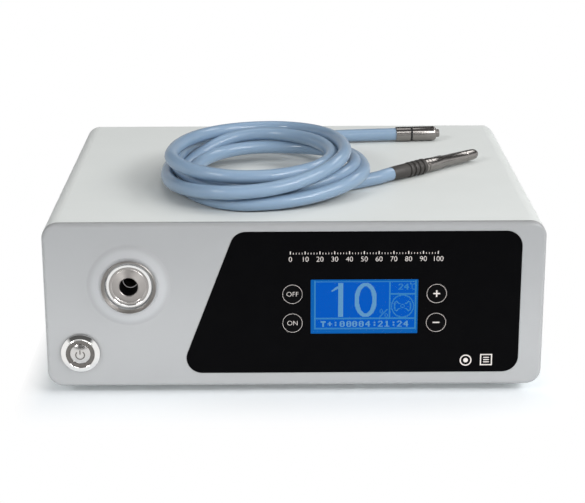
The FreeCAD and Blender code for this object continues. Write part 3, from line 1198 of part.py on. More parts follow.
def make_source_end(height, degrees):
    """Ribbed strain relief, band and long ferrule with a groove near its round tip."""
    relief = [("0", "0"), ("relief_small_radius", "0")]
    slope = "(relief_large_radius - relief_small_radius) / relief_length"
    for i in range(int(SIZES["relief_groove_count"])):
        start = f"relief_groove_start + relief_groove_pitch * {i}"
        for place_along, sink in ((start, "0"), (start, "relief_groove"),
                                  (f"{start} + relief_groove_width", "relief_groove"),
                                  (f"{start} + relief_groove_width", "0")):
            relief.append((f"relief_small_radius + {slope} * ({place_along}) - {sink}", place_along))
    relief += [("relief_large_radius", "relief_length"), ("0", "relief_length")]
    lay_on_cover("source_strain_relief", turned_on_cable("relief_body", relief),
                 "source_start_x", "source_start_depth", height, degrees)
    band, end = "collar_band_length", "collar_band_length + ferrule_length"
    back = f"{end} - ferrule_groove_back"
    shoulder = f"{band} + ferrule_rear_length"
    narrow = "ferrule_tip_radius + (ferrule_radius - ferrule_tip_radius) * 0.15"
    ferrule = [("0", "0"), ("collar_band_radius - ferrule_groove", "0"),
               ("collar_band_radius", "ferrule_groove"), ("collar_band_radius", f"{band} * 0.45"),
               ("collar_band_radius - ferrule_groove", f"{band} * 0.45"),
               ("collar_band_radius - ferrule_groove", f"{band} * 0.6"),
               ("collar_band_radius", f"{band} * 0.6"), ("collar_band_radius", f"{band} - ferrule_groove"),
               ("collar_band_radius - ferrule_groove", band),
               ("ferrule_rear_radius", band), ("ferrule_rear_radius", f"{shoulder} - ferrule_groove"),
               ("ferrule_radius", shoulder),
               (narrow, back), (f"{narrow} - ferrule_groove", back),
               (f"{narrow} - ferrule_groove", f"{back} + ferrule_groove_width"),
               (narrow, f"{back} + ferrule_groove_width"), ("ferrule_tip_radius", f"{end} - 3"),
               ("ferrule_tip_radius - 0.35", f"{end} - 1.6"),
               ("ferrule_tip_radius - 0.8", f"{end} - 0.7"), ("ferrule_tip_radius - 1.3", end),
               ("fibre_radius", end), ("fibre_radius", f"{end} - 0.3"), ("0", f"{end} - 0.3")]
    along = "relief_length"
    lay_on_cover("source_ferrule", turned_on_cable("ferrule_body", ferrule),
                 f"source_start_x + {along} * cos(source_heading * 1deg)",
                 f"source_start_depth + {along} * sin(source_heading * 1deg)", height, degrees)


def make_scope_end(height):
    """Two steel sleeves with a groove between them and a thin tip."""
    front = "sleeve_rear_length + sleeve_groove_width"
    end = f"{front} + sleeve_front_length"
    sleeve = [("0", "0"), ("sleeve_radius", "0"), ("sleeve_radius", "sleeve_rear_length"),
              ("sleeve_radius - sleeve_groove", "sleeve_rear_length"),
              ("sleeve_radius - sleeve_groove", front), ("sleeve_radius", front),
              ("sleeve_radius", f"{end} - sleeve_taper"), ("sleeve_end_radius", end),
              ("tip_radius", end), ("tip_radius", f"{end} + tip_length"),
              ("0", f"{end} + tip_length")]
    degrees = math.degrees(math.atan2(value("scope_end_depth - scope_middle_depth"),
                                      value("scope_end_x - scope_middle_x")))
    lay_on_cover("scope_connector", turned_on_cable("sleeve_body", sleeve),
                 "scope_end_x", "scope_end_depth", height, degrees)


# ---------------------------------------------------------------- build, check, write


def check_features():
    """Stops on a failed feature, a null or broken shape, or a cut that removed nothing."""
    for item in doc.Objects:
        if "Invalid" in item.State or "Error" in item.State:
            raise RuntimeError(f"{item.Name} ({item.Label}) failed: {item.State}")
        if item.TypeId == "PartDesign::Pocket":
            if item.Shape.Volume > item.BaseFeature.Shape.Volume - 1e-6:
                raise RuntimeError(f"{item.Name} cuts nothing")
    for node, item in SUB_PARTS.items():
        if item.Shape.isNull() or not item.Shape.isValid() or not item.Shape.Solids:
            raise RuntimeError(f"{node} has no valid solid")


def write_parts():
    os.makedirs("parts", exist_ok=True)
    for node, item in SUB_PARTS.items():
        item.Shape.exportStep(f"parts/{node}.step")
        box = item.Shape.BoundBox
        print(f"{node}: {len(item.Shape.Solids)} solid(s), x {box.XMin:.1f} {box.XMax:.1f}, "
              f"y {box.YMin:.1f} {box.YMax:.1f}, z {box.ZMin:.1f} {box.ZMax:.1f}")


make_front_panel()
make_top_cover()
make_base_tray()
make_rear_panel()
make_feet_and_screws()
make_overlay()
make_display()
make_control_board()
make_keys()
make_power_switch()
make_light_port()
make_light_engine()
make_fan()
make_mains_inlet()
make_power_supply()
make_driver()
make_ribbon()
make_wires()
make_light_cable()
doc.recompute()
check_features()
write_parts()
print(len(SUB_PARTS), "sub-parts")
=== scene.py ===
import json
import math

import bpy
import bmesh
from mathutils import Euler, Matrix, Vector


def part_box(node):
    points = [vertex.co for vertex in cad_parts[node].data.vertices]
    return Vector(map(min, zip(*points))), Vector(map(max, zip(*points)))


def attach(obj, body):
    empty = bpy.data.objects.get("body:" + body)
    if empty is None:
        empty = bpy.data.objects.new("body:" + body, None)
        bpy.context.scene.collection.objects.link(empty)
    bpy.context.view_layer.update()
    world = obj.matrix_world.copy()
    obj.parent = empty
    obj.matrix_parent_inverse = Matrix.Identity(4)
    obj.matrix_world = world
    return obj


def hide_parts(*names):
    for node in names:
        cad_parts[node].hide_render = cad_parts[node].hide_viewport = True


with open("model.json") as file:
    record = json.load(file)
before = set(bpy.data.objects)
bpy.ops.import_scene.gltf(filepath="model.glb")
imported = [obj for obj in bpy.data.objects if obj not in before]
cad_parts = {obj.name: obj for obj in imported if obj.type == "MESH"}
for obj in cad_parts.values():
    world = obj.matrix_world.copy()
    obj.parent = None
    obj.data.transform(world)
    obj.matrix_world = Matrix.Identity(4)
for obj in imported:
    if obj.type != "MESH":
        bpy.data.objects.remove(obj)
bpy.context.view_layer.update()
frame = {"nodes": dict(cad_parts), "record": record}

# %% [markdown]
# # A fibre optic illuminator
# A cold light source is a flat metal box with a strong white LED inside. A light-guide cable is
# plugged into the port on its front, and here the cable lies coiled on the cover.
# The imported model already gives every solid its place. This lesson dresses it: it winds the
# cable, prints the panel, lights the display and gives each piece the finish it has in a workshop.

MM = 0.001
FRONT_FACE = -131.4      # where the front panel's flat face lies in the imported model, mm
TRAY_UNDERSIDE = 6.0     # the tray stands this high on its rubber feet, mm


def spot(x, depth, height):
    """A place on the housing: mm from its middle, back from its face and up from its tray."""
    return Vector((x, depth + FRONT_FACE, height + TRAY_UNDERSIDE)) * MM


def middle(node):
    """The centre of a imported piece's box."""
    low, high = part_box(node)
    return (low + high) / 2


# %% [markdown]
# ## The camera
# A long lens from about a metre away keeps the box's edges nearly parallel. The camera looks
# down on the cover by some seventeen degrees, so both the front and the coil are seen.
# Turning it is done with Euler angles first, and a last small roll about its own line of sight.

# %% Camera
LENS, SENSOR = 100.48, 36.0                  # focal length and sensor width, mm
CAMERA_PLACE = (-9.05, -967.78, 394.44)      # x, depth and height on the housing, mm
PITCH, YAW, ROLL = (math.radians(a) for a in (17.482, 0.467, -0.135))

lens = bpy.data.cameras.new("lens")
lens.lens, lens.sensor_width = LENS, SENSOR
lens.clip_start, lens.clip_end = 0.05, 50
camera = bpy.data.objects.new("camera", lens)
bpy.context.collection.objects.link(camera)
aim = Euler((math.pi / 2 - PITCH, 0, -YAW)).to_matrix() @ Matrix.Rotation(ROLL, 3, "Z")
camera.matrix_world = Matrix.Translation(spot(*CAMERA_PLACE)) @ aim.to_4x4()
bpy.context.scene.camera = camera
print("camera at, mm:", [round(c / MM) for c in camera.location])

# %% [markdown]
# ## The light-guide cable
# Such a cable is a bundle of glass fibres in a steel spiral, inside a smooth silicone hose nine
# millimetres thick. It is stiff, so it never kinks: it lies in wide ovals, one turn over another,
# and loose turns differ in size. A NURBS curve with a round bevel is the plain way to make a hose.
# Each turn is given by four places only, where it is furthest to the front, left, back and right.
# Between two such places the hose follows a quarter of an ellipse, which a loop works out, and it
# climbs or sinks softly over the turns that it crosses.

# %% The cable's route
CABLE = 9.0              # thickness, mm
COVER = 108.0            # height of the cover's top above the tray, mm
FITTING_LIFT = 5.6       # height of its end fittings' axes above the cover, mm
# each place is x, depth and height above the cover, mm
SOURCE_END = [(68.2, 98.8, FITTING_LIFT), (61.4, 92.9, FITTING_LIFT), (56.0, 87.0, 5.0), (4, 54, 5)]
SCOPE_END = [(-26, 204, 6), (12.9, 204.2, 5.2), (45.0, 209.4, FITTING_LIFT),
             (77.2, 212.4, FITTING_LIFT)]
# each row is the front, left, back and right of one turn
TURNS = [
    (-27, 50, 6), (-67, 89, 10), (-19, 149, 12), (42, 91, 16),
    (-21, 37, 10), (-79, 102, 15), (-26, 185, 7), (48, 85, 13),
    (-29, 25, 5), (-76, 99, 5), (-23, 152, 21), (26, 87, 22),
    (-29, 31, 21), (-81, 79, 24), (-16, 167, 22), (35, 83, 26),
    (-37, 20, 14), (-85, 102, 7), SCOPE_END[0],
]
POINTS = 5               # on a quarter of a turn


def quarter_turn(start, end, sideways):
    """Places along a quarter of an ellipse that leaves its start sideways or front to back."""
    places = []
    for i in range(POINTS):
        turn = math.pi / 2 * i / POINTS
        late, soon = 1 - math.cos(turn), math.sin(turn)
        x_share, depth_share = (soon, late) if sideways else (late, soon)
        places.append((start[0] + (end[0] - start[0]) * x_share,
                       start[1] + (end[1] - start[1]) * depth_share,
                       start[2] + (end[2] - start[2]) * soon ** 2))
    return places


coil = []
for quarter, (start, end) in enumerate(zip(TURNS, TURNS[1:])):
    coil += quarter_turn(start, end, sideways=quarter % 2 == 0)
route = [spot(x, depth, COVER + height) for x, depth, height in SOURCE_END + coil + SCOPE_END]
print("cable route:", len(route), "points,", len(TURNS) // 4, "turns and a half")

# %% The cable
hose = bpy.data.curves.new("light_guide", "CURVE")
hose.dimensions = "3D"
line = hose.splines.new("NURBS")
line.points.add(len(route) - 1)
for point, place in zip(line.points, route):
    point.co = (*place, 1)
    point.radius = CABLE / 2 * MM
line.order_u = 3
line.use_endpoint_u = True
line.resolution_u = 3
hose.bevel_depth = 1.0   # times each point's radius
hose.bevel_resolution = 6
hose.use_fill_caps = True
light_guide = bpy.data.objects.new("light_guide", hose)
bpy.context.collection.objects.link(light_guide)
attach(light_guide, "housing")
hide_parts("cable_coil", "cable_tail_source", "cable_tail_scope")
print("hose:", CABLE, "mm thick, a NURBS curve of order", line.order_u)

# %% [markdown]
# ## Helpers for finishes
# Colours are written as the hex codes a paint shop would use, in sRGB. Blender mixes light in
# linear numbers, so one function turns the one into the other. A second small function adds a
# shader node: what it is given is either a setting, a number for a socket or a link.

# %% Finish helpers


def linear(code):
    """sRGB hex to linear red, green, blue and a full alpha."""
    parts = [int(code[i:i + 2], 16) / 255 for i in (1, 3, 5)]
    return (*(c / 12.92 if c <= 0.04045 else ((c + 0.055) / 1.055) ** 2.4 for c in parts), 1)


def add(tree, kind, **given):
    """Adds a node. A name is a socket's, with _ for a space, its number as in0, or a setting's."""
    node = tree.nodes.new(kind)
    for name, what in given.items():
        if name.startswith("in") and name[2:].isdigit():
            socket = node.inputs[int(name[2:])]
        else:
            socket = node.inputs.get(name.replace("_", " "))
        if socket is None:
            setattr(node, name, what)
        elif isinstance(what, bpy.types.NodeSocket):
            tree.links.new(what, socket)
        else:
            socket.default_value = what
    return node


def new_finish(name, **shader):
    """A material with its Principled shader set, and the parts that its pattern needs."""
    finish = bpy.data.materials.new(name)
    finish.use_nodes = True
    tree = finish.node_tree
    tree.nodes.clear()
    surface = add(tree, "ShaderNodeBsdfPrincipled", **shader)
    add(tree, "ShaderNodeOutputMaterial", Surface=surface.outputs[0])
    where = add(tree, "ShaderNodeTexCoord").outputs["Object"]
    return finish, tree, surface, where


def mottle(tree, surface, where, light, dark, size):
    """Lets the colour wander between two tones over patches of a size in mm; gives the mix."""
    cloud = add(tree, "ShaderNodeTexNoise", Vector=where, Scale=1 / (size * MM), Detail=4)
    mix = add(tree, "ShaderNodeMix", data_type="RGBA", in0=cloud.outputs[0],
              in6=linear(dark), in7=linear(light))
    tree.links.new(mix.outputs[2], surface.inputs["Base Color"])
    return mix


def grain(tree, surface, where, size, height, stretch=(1, 1, 1), rough=None):
    """A fine relief of a size and height in mm, and with rough a wandering gloss."""
    placed = add(tree, "ShaderNodeMapping", Vector=where, Scale=stretch)
    noise = add(tree, "ShaderNodeTexNoise", Vector=placed.outputs[0], Scale=1 / (size * MM),
                Detail=3)
    bump = add(tree, "ShaderNodeBump", Height=noise.outputs[0], Distance=height * MM)
    tree.links.new(bump.outputs[0], surface.inputs["Normal"])
    if rough:
        span = add(tree, "ShaderNodeMapRange", Value=noise.outputs[0], To_Min=rough[0],
                   To_Max=rough[1])
        tree.links.new(span.outputs[0], surface.inputs["Roughness"])


# %% [markdown]
# ## Painted and moulded finishes
# The cover is folded steel with a satin powder coat: an even pale grey with a very fine orange
# peel. The front is a moulding sprayed a shade darker, with a smoother skin.

# %% Paint
cover_paint, tree, surface, where = new_finish("satin_powder_coat", Roughness=0.42, IOR=1.5,
                                              Specular_IOR_Level=0.12)
mottle(tree, surface, where, "#DEE1DF", "#D8DBD9", 45)
grain(tree, surface, where, 1.1, 0.012, rough=(0.38, 0.47))

front_paint, tree, surface, where = new_finish("sprayed_abs_moulding", Roughness=0.4, IOR=1.5)
colour = mottle(tree, surface, where, "#9A9B9C", "#959697", 60)
grain(tree, surface, where, 0.7, 0.006, rough=(0.3, 0.38))

# painted highlight: the raised ring round the port gets a brighter paint, standing in for the light
# its crest catches
LIT_RING_START, LIT_RING_END = 21.5, 25.5    # where the brighter paint starts and ends to fade, mm
from_port = add(tree, "ShaderNodeVectorMath", operation="SUBTRACT", in0=where,
                in1=middle("port_socket"))
upright = add(tree, "ShaderNodeVectorMath", operation="MULTIPLY", in0=from_port.outputs[0],
              in1=(1, 0, 1))
away = add(tree, "ShaderNodeVectorMath", operation="LENGTH", in0=upright.outputs[0])
painted_highlight = add(tree, "ShaderNodeMapRange", interpolation_type="SMOOTHSTEP",
            Value=away.outputs["Value"], From_Min=LIT_RING_START * MM, From_Max=LIT_RING_END * MM,
            To_Min=0.8, To_Max=0.0)
paint_with_highlight = add(tree, "ShaderNodeMix", data_type="RGBA", in0=painted_highlight.outputs[0],
                in6=colour.outputs[2], in7=linear("#A9AAAC"))
tree.links.new(paint_with_highlight.outputs[2], surface.inputs["Base Color"])
print("paints:", cover_paint.name, front_paint.name)

# %% [markdown]
# ## Films, legends and plastics
# The control panel is a polyester film, printed black from behind. Its legends are a warm
# white ink. The keys are the same film over soft domes, so they shine a little more.

# %% Films and plastics
film, tree, surface, where = new_finish("back_printed_polyester_film", Roughness=0.38, IOR=1.5,
                                        Specular_IOR_Level=0.02)
mottle(tree, surface, where, "#070708", "#040405", 12)
grain(tree, surface, where, 0.35, 0.003, rough=(0.34, 0.44))

key_film, tree, surface, where = new_finish("domed_key_film", Roughness=0.3, IOR=1.5,
                                            Specular_IOR_Level=0.03)
mottle(tree, surface, where, "#080809", "#050506", 5)
grain(tree, surface, where, 0.3, 0.003)

ink, tree, surface, where = new_finish("warm_white_screen_ink", Roughness=0.55, IOR=1.5)
mottle(tree, surface, where, "#D2CBC7", "#C0B9B5", 0.8)

black_abs, tree, surface, where = new_finish("black_moulded_abs", Roughness=0.5, IOR=1.46)
mottle(tree, surface, where, "#1C1D1F", "#131415", 8)
grain(tree, surface, where, 0.5, 0.02, rough=(0.42, 0.6))

rubber, tree, surface, where = new_finish("black_moulded_rubber", Roughness=0.5, IOR=1.52)
mottle(tree, surface, where, "#3F3B39", "#322F2D", 4)
grain(tree, surface, where, 0.4, 0.03, rough=(0.45, 0.6))
print("films and plastics:", film.name, key_film.name, ink.name, black_abs.name, rubber.name)

# %% [markdown]
# ## The hose's silicone
# Silicone is soft to the eye: light enters it a little, and over that its skin gives narrow
# clean highlights. A blue base with a thin clear coat shows both.

# %% Silicone
silicone, tree, surface, where = new_finish(
    "blue_silicone_hose", Roughness=0.42, IOR=1.43, Specular_IOR_Level=0.25, Coat_Weight=0.6,
    Coat_Roughness=0.08, Subsurface_Weight=0.06, Subsurface_Radius=(0.4, 0.6, 1.0),
    Subsurface_Scale=2 * MM)
mottle(tree, surface, where, "#8AA2BA", "#8098B1", 18)
grain(tree, surface, where, 2.2, 0.012, rough=(0.36, 0.46))
print("hose finish:", silicone.name)

# %% [markdown]
# ## Metals
# The port and the button are turned and polished stainless steel. Turning leaves rings that
# are far too fine to see, so they are drawn a millimetre or more apart. A metal keeps the
# standard IOR, and its colour is all in the base.

# %% Metal with turning marks
WAVE = 0.314             # a wave texture's rings lie this far apart at a scale of one


def turned_metal(name, light, dark, rough, axis, spacing=1.0, depth=0.004, across=None):
    """Metal with turning marks, spaced in mm, round an axis through a place."""
    finish, tree, surface, where = new_finish(name, Metallic=1.0)
    mottle(tree, surface, where, light, dark, 9)
    centre = across or Vector()
    placed = add(tree, "ShaderNodeMapping", Vector=where, Location=[-c for c in centre])
    lines = add(tree, "ShaderNodeTexWave", Vector=placed.outputs[0], wave_type="RINGS",
                rings_direction=axis, Scale=WAVE / (spacing * MM), Distortion=0.6, Detail=1)
    bump = add(tree, "ShaderNodeBump", Height=lines.outputs["Fac"], Distance=depth * MM)
    tree.links.new(bump.outputs[0], surface.inputs["Normal"])
    cloud = add(tree, "ShaderNodeTexNoise", Vector=where, Scale=1 / (3 * MM), Detail=3)
    span = add(tree, "ShaderNodeMapRange", Value=cloud.outputs[0], To_Min=rough[0],
               To_Max=rough[1])
    tree.links.new(span.outputs[0], surface.inputs["Roughness"])
    return finish


# %% Metals
port_steel = turned_metal("turned_port_steel", "#B3AFAC", "#A19D9A", (0.34, 0.46), "Y",
                          across=middle("port_socket"))
collar_metal = turned_metal("dark_anodised_collar", "#A5A29F", "#95928F", (0.4, 0.52), "Y",
                            across=middle("port_collar"))
bezel_steel = turned_metal("polished_button_bezel", "#F4F3F1", "#E9E8E6", (0.03, 0.06), "Y",
                           across=middle("power_switch_body"), depth=0.001)
rim_steel = turned_metal("polished_port_rim", "#F0F0EF", "#E6E6E5", (0.14, 0.2), "Y",
                         across=middle("port_socket"), depth=0.001)
cap_steel = turned_metal("brushed_button_cap", "#DAD8D6", "#CDCBC9", (0.17, 0.23), "Y",
                         across=middle("power_button"), depth=0.002)
ferrule_steel = turned_metal("polished_ferrule_steel", "#999592", "#898582", (0.18, 0.26), "Z",
                             spacing=3.0, depth=0.002)

zinc, tree, surface, where = new_finish("bright_zinc_plate", Metallic=1.0)
mottle(tree, surface, where, "#C4C3BD", "#A9A8A2", 2)
grain(tree, surface, where, 0.5, 0.01, rough=(0.25, 0.4))

aluminium, tree, surface, where = new_finish("extruded_aluminium", Metallic=1.0)
mottle(tree, surface, where, "#CACBCD", "#B6B7B9", 10)
grain(tree, surface, where, 0.5, 0.01, stretch=(1, 0.05, 1), rough=(0.3, 0.45))

dark_ring, tree, surface, where = new_finish("smoked_ring_lens", Roughness=0.3, IOR=1.49)
mottle(tree, surface, where, "#5A5652", "#4C4946", 3)
# painted shade: a near-black finish for a liner inside the port's bore and for the ring deep in it,
# standing in for the shade deep in the hole
bore_shade_finish, tree, surface, where = new_finish("blackened_bore", Roughness=0.6, IOR=1.5,
                                              Specular_IOR_Level=0.1)
mottle(tree, surface, where, "#0B0B0C", "#060607", 2)

brass, tree, surface, where = new_finish("turned_brass", Metallic=1.0)
mottle(tree, surface, where, "#D9BE7E", "#C2A55F", 2)
grain(tree, surface, where, 0.4, 0.006, rough=(0.22, 0.35))
print("metals:", *(metal.name for metal in (port_steel, collar_metal, bezel_steel, rim_steel,
                                            cap_steel, ferrule_steel, zinc, aluminium, brass)))

# %% [markdown]
# ## The display
# The display is a lit glass: its blue comes from behind, so the shader gives off light instead
# of waiting for it. The dots that are on let the lamp's cold white through.

# %% Display finishes


def lit(name, base, glow):
    """A finish that gives off a colour of its own."""
    finish, *_ = new_finish(name, Roughness=0.3, Base_Color=linear(base),
                            Specular_IOR_Level=0.0, Emission_Color=linear(glow),
                            Emission_Strength=1.0)
    return finish


display_edge = lit("lit_display_edge", "#010306", "#0F62B4")
display_blue = lit("lit_display_field", "#010208", "#065AC2")
display_dot = lit("lit_display_dots", "#060A0C", "#6EA6C9")
display_line = lit("lit_display_lines", "#060A0C", "#3E8AC0")
# painted glint: the thin ring deep in the port's bore glows grey, standing in for the bright edge
# that light draws on the lens there
glint_glow = lit("painted_glint_ring", "#808080", "#8E8E8E")
clear, tree, surface, where = new_finish(
    "clear_acrylic", Roughness=0.05, IOR=1.49, Alpha=0.03, Specular_IOR_Level=0.1,
    Base_Color=linear("#202428"))
print("display finishes:", display_edge.name, display_blue.name, display_dot.name, clear.name)

# %% [markdown]
# ## Things inside
# The circuit boards, the wires, the lenses and the LED are hardly seen, but each still gets
# its own stuff, for whoever opens the cover.

# %% Inner finishes
board, tree, surface, where = new_finish("green_solder_mask", Roughness=0.35, IOR=1.5)
mottle(tree, surface, where, "#2F6B44", "#1E5233", 3)
grain(tree, surface, where, 0.8, 0.02)
glass, tree, surface, where = new_finish("optical_glass", Roughness=0.02, IOR=1.52,
                                         Transmission_Weight=1.0, Base_Color=linear("#16191D"))
emitter, tree, surface, where = new_finish("yellow_led_phosphor", Roughness=0.5, IOR=1.45)
mottle(tree, surface, where, "#F2E9A8", "#E6DB8C", 1)
plain_wires = {}
for name, light, dark in (("grey_ribbon", "#A9ABAE", "#96989B"),
                          ("red_wire", "#B3261E", "#8F1D17"),
                          ("brown_wire", "#6B4A2E", "#543820")):
    plain_wires[name], tree, surface, where = new_finish(f"{name}_pvc", Roughness=0.4, IOR=1.53)
    mottle(tree, surface, where, light, dark, 3)
    grain(tree, surface, where, 1.0, 0.01)
print(len(bpy.data.materials), "finishes in all")

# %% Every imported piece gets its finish
slot_finish = {
    "light_grey_paint": cover_paint, "grey_front_paint": front_paint, "black_overlay": film,
    "blue_display": display_edge, "clear_window": clear, "black_plastic": black_abs,
    "black_gloss_key": key_film, "polished_steel": bezel_steel, "turned_metal": port_steel,
    "grey_anodised": collar_metal, "aluminium": aluminium, "zinc_steel": zinc, "brass": brass,
    "circuit_board": board, "white_emitter": emitter, "lens_glass": glass,
    "blue_cable": silicone, "dark_rubber": rubber, **plain_wires,
}
own_finish = {
    "source_ferrule": ferrule_steel, "scope_connector": ferrule_steel,
    # the ring deep in the port's bore takes the painted shade of the bore
    "power_switch_ring": dark_ring, "power_button": cap_steel, "port_clamp_ring": bore_shade_finish,
}
record_slots = {part["node"]: part["material_slot"] for part in frame["record"]["subparts"]}
for name, node in frame["nodes"].items():
    for slot in node.material_slots:
        slot.material = own_finish.get(name, slot_finish[record_slots[name]])
light_guide.data.materials.append(silicone)
print(len(frame["nodes"]), "packed pieces finished")

# %% [markdown]
# ## Small flat prints
# A legend is a thin layer of ink. Each print is drawn flat as polygons in the panel's own
# plane, then given a thickness of a twentieth of a millimetre and set just on the surface.

# %% Print helpers
INK = 0.05               # thickness of the ink, mm
CLEARANCE = 0.01         # between a print and the face under it, mm


def front_of(node):
    """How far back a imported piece's front lies, in mm of the housing."""
    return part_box(node)[0].y / MM - FRONT_FACE


def seen_at(node):
    """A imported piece's middle as seen from the front: x and height in mm of the housing."""
    centre = middle(node)
    return centre.x / MM, centre.z / MM - TRAY_UNDERSIDE


# %% Thin plates


def thicken(mesh, thick):
    """Turns flat faces to the front and draws them out forwards by some mm."""
    mesh.normal_update()
    for face in mesh.faces:
        if face.normal.y > 0:
            face.normal_flip()
    made = bmesh.ops.extrude_face_region(mesh, geom=mesh.faces[:])
    moved = [item for item in made["geom"] if isinstance(item, bmesh.types.BMVert)]
    bmesh.ops.translate(mesh, verts=moved, vec=(0, -thick * MM, 0))
    bmesh.ops.recalc_face_normals(mesh, faces=mesh.faces)
    return mesh


def plate_from(shapes, front, thick=INK):
    """One mesh of thin upright plates. Shapes are lists of (x, height) corners, mm."""
    mesh = bmesh.new()
    for corners in shapes:
        mesh.faces.new([mesh.verts.new(spot(x, front, height)) for x, height in corners])
    return thicken(mesh, thick)


def to_object(name, mesh, finish, body):
    """Makes a mesh an object with a finish that rides on a body."""
    data = bpy.data.meshes.new(name)
    mesh.to_mesh(data)
    mesh.free()
    data.materials.append(finish)
    made = bpy.data.objects.new(name, data)
    bpy.context.collection.objects.link(made)
    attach(made, body)
    return made


# %% Rings, bars and words


def ring_shapes(x, height, radius, width, parts=48, start=0.0, sweep=1.0):
    """Quads that make a ring, or an arc that sweeps a share of one."""
    inner, outer = radius - width / 2, radius + width / 2
    shapes = []
    for i in range(int(parts * sweep)):
        a, b = (2 * math.pi * (start + (i + k) / parts) for k in (0, 1))
        shapes.append([(x + r * math.sin(t), height + r * math.cos(t))
                       for r, t in ((inner, a), (outer, a), (outer, b), (inner, b))])
    return shapes


def bar(x, height, wide, tall):
    """The corners of an upright rectangle round its middle."""
    return [(x - wide / 2, height - tall / 2), (x + wide / 2, height - tall / 2),
            (x + wide / 2, height + tall / 2), (x - wide / 2, height + tall / 2)]


def words(text, x, height, size, front, thin):
    """Text made into plates, centred on a place. Size is its capitals' height, thin its offset."""
    curve = bpy.data.curves.new("words", "FONT")
    curve.body = text
    curve.align_x = "CENTER"
    curve.offset = thin
    thing = bpy.data.objects.new("words", curve)
    bpy.context.collection.objects.link(thing)
    bpy.context.view_layer.update()
    data = bpy.data.meshes.new_from_object(
        thing.evaluated_get(bpy.context.evaluated_depsgraph_get()))
    bpy.data.objects.remove(thing)
    mesh = bmesh.new()
    mesh.from_mesh(data)
    bpy.data.meshes.remove(data)
    bmesh.ops.remove_doubles(mesh, verts=mesh.verts, dist=1e-5)
    scale = size / max(corner.co.y for corner in mesh.verts)
    for corner in mesh.verts:
        corner.co = spot(x + corner.co.x * scale, front, height - size / 2 + corner.co.y * scale)
    return thicken(mesh, INK)


def together(meshes):
    """Joins several meshes into one."""
    whole = bmesh.new()
    for mesh in meshes:
        data = bpy.data.meshes.new("piece")
        mesh.to_mesh(data)
        mesh.free()
        whole.from_mesh(data)
        bpy.data.meshes.remove(data)
    return whole


# %% [markdown]
# ## Turned details
# The port and the button are lathe work, and a lathe is easy to copy: draw half of a section,
# give each corner a radius and a depth, and turn it round the axis. Edges that turn by less than
# some thirty degrees are shaded smooth, so the rounded rims shine evenly.

# %% A lathe
SHARP = math.radians(32)     # an edge that turns by more than this stays sharp


def round_angles(parts):
    """Equal steps of a full turn."""
    return [2 * math.pi * i / parts for i in range(parts)]


def front_axis(node):
    """The axis of a thing in the front panel: it runs back from the panel's face."""
    centre = middle(node)
    return (Matrix.Translation((centre.x, FRONT_FACE * MM, centre.z))
            @ Matrix.Rotation(-math.pi / 2, 4, "X"))


def cover_axis(x, depth, heading):
    """The axis of a fitting that lies on the cover and points some degrees to the back."""
    return (Matrix.Translation(spot(x, depth, COVER + FITTING_LIFT))
            @ Matrix.Rotation(math.radians(heading), 4, "Z")
            @ Matrix.Rotation(math.pi / 2, 4, "Y"))


def lathe(name, axis, profile, finish, body, parts=96):
    """A closed section of (radius, place along the axis) corners, mm, turned round an axis."""
    mesh = bmesh.new()
    rings = []
    for radius, along in profile:
        corners = [Vector((radius * math.cos(a), radius * math.sin(a), along)) * MM
                   for a in round_angles(parts)]
        rings.append([mesh.verts.new(axis @ corner) for corner in corners])
    for ring, following in zip(rings, rings[1:] + rings[:1]):
        for i in range(parts):
            k = (i + 1) % parts
            mesh.faces.new((ring[i], ring[k], following[k], following[i]))
    bmesh.ops.remove_doubles(mesh, verts=mesh.verts, dist=1e-7)
    bmesh.ops.dissolve_degenerate(mesh, edges=mesh.edges, dist=1e-7)
    bmesh.ops.recalc_face_normals(mesh, faces=mesh.faces)
    for face in mesh.faces:
        face.smooth = True
    made = to_object(name, mesh, finish, body)
    made.data.set_sharp_from_angle(angle=SHARP)
    return made


def bead(radius, depth, wire):
    """The section of a thin round ring."""
    return [(radius + wire * math.cos(a), depth + wire * math.sin(a)) for a in round_angles(10)]


# %% The port's rim, bead, bore and inner ring
port = front_axis("port_socket")
BEAD_DEPTH = -1.62       # just in front of the socket's flat ring, mm
rim = lathe("port_rim", port, [
    (12.45, 0.4), (12.45, -2.1), (12.6, -2.2), (13.3, -2.17), (14.0, -2.03), (14.5, -1.8),
    (14.8, -1.45), (14.93, -1.0), (14.96, 0.4)], rim_steel, "housing")
lathe("port_face_bead", port, bead(10.9, BEAD_DEPTH, 0.2), cap_steel, "housing")
# a near-black liner inside the bore, a painted shade for the dark deep in the hole
lathe("bore_shade_liner", port, [(5.45, -2.9), (5.78, -2.9), (5.78, 9.9), (5.45, 9.9)], bore_shade_finish,
      "housing")
# painted glint on the ring deep in the bore: it glows instead of catching light
lathe("clamp_edge", port, bead(4.62, 9.8, 0.2), glint_glow, "housing")
print("port rim:", len(rim.data.polygons), "faces")

# %% The button's lip and dome
BUTTON_FRONT, BUTTON_RADIUS = -2.6, 6.4      # depth of the cap's face and its radius, mm
DOME = 1.9               # height of the cap's dome, mm
DOME_BACK = BUTTON_FRONT + 0.2               # the dome starts inside the cap
STEPS = 12               # along the dome's arch
switch = front_axis("power_button")
arch = [(BUTTON_RADIUS * i / STEPS, BUTTON_FRONT - DOME * (1 - (i / STEPS) ** 2))
        for i in range(STEPS + 1)]
lathe("button_dome", switch, [(0, DOME_BACK)] + arch + [(BUTTON_RADIUS, DOME_BACK)],
      cap_steel, "power_button")
lathe("bezel_lip", switch, bead(9.35, -3.0, 0.25), bezel_steel, "housing")

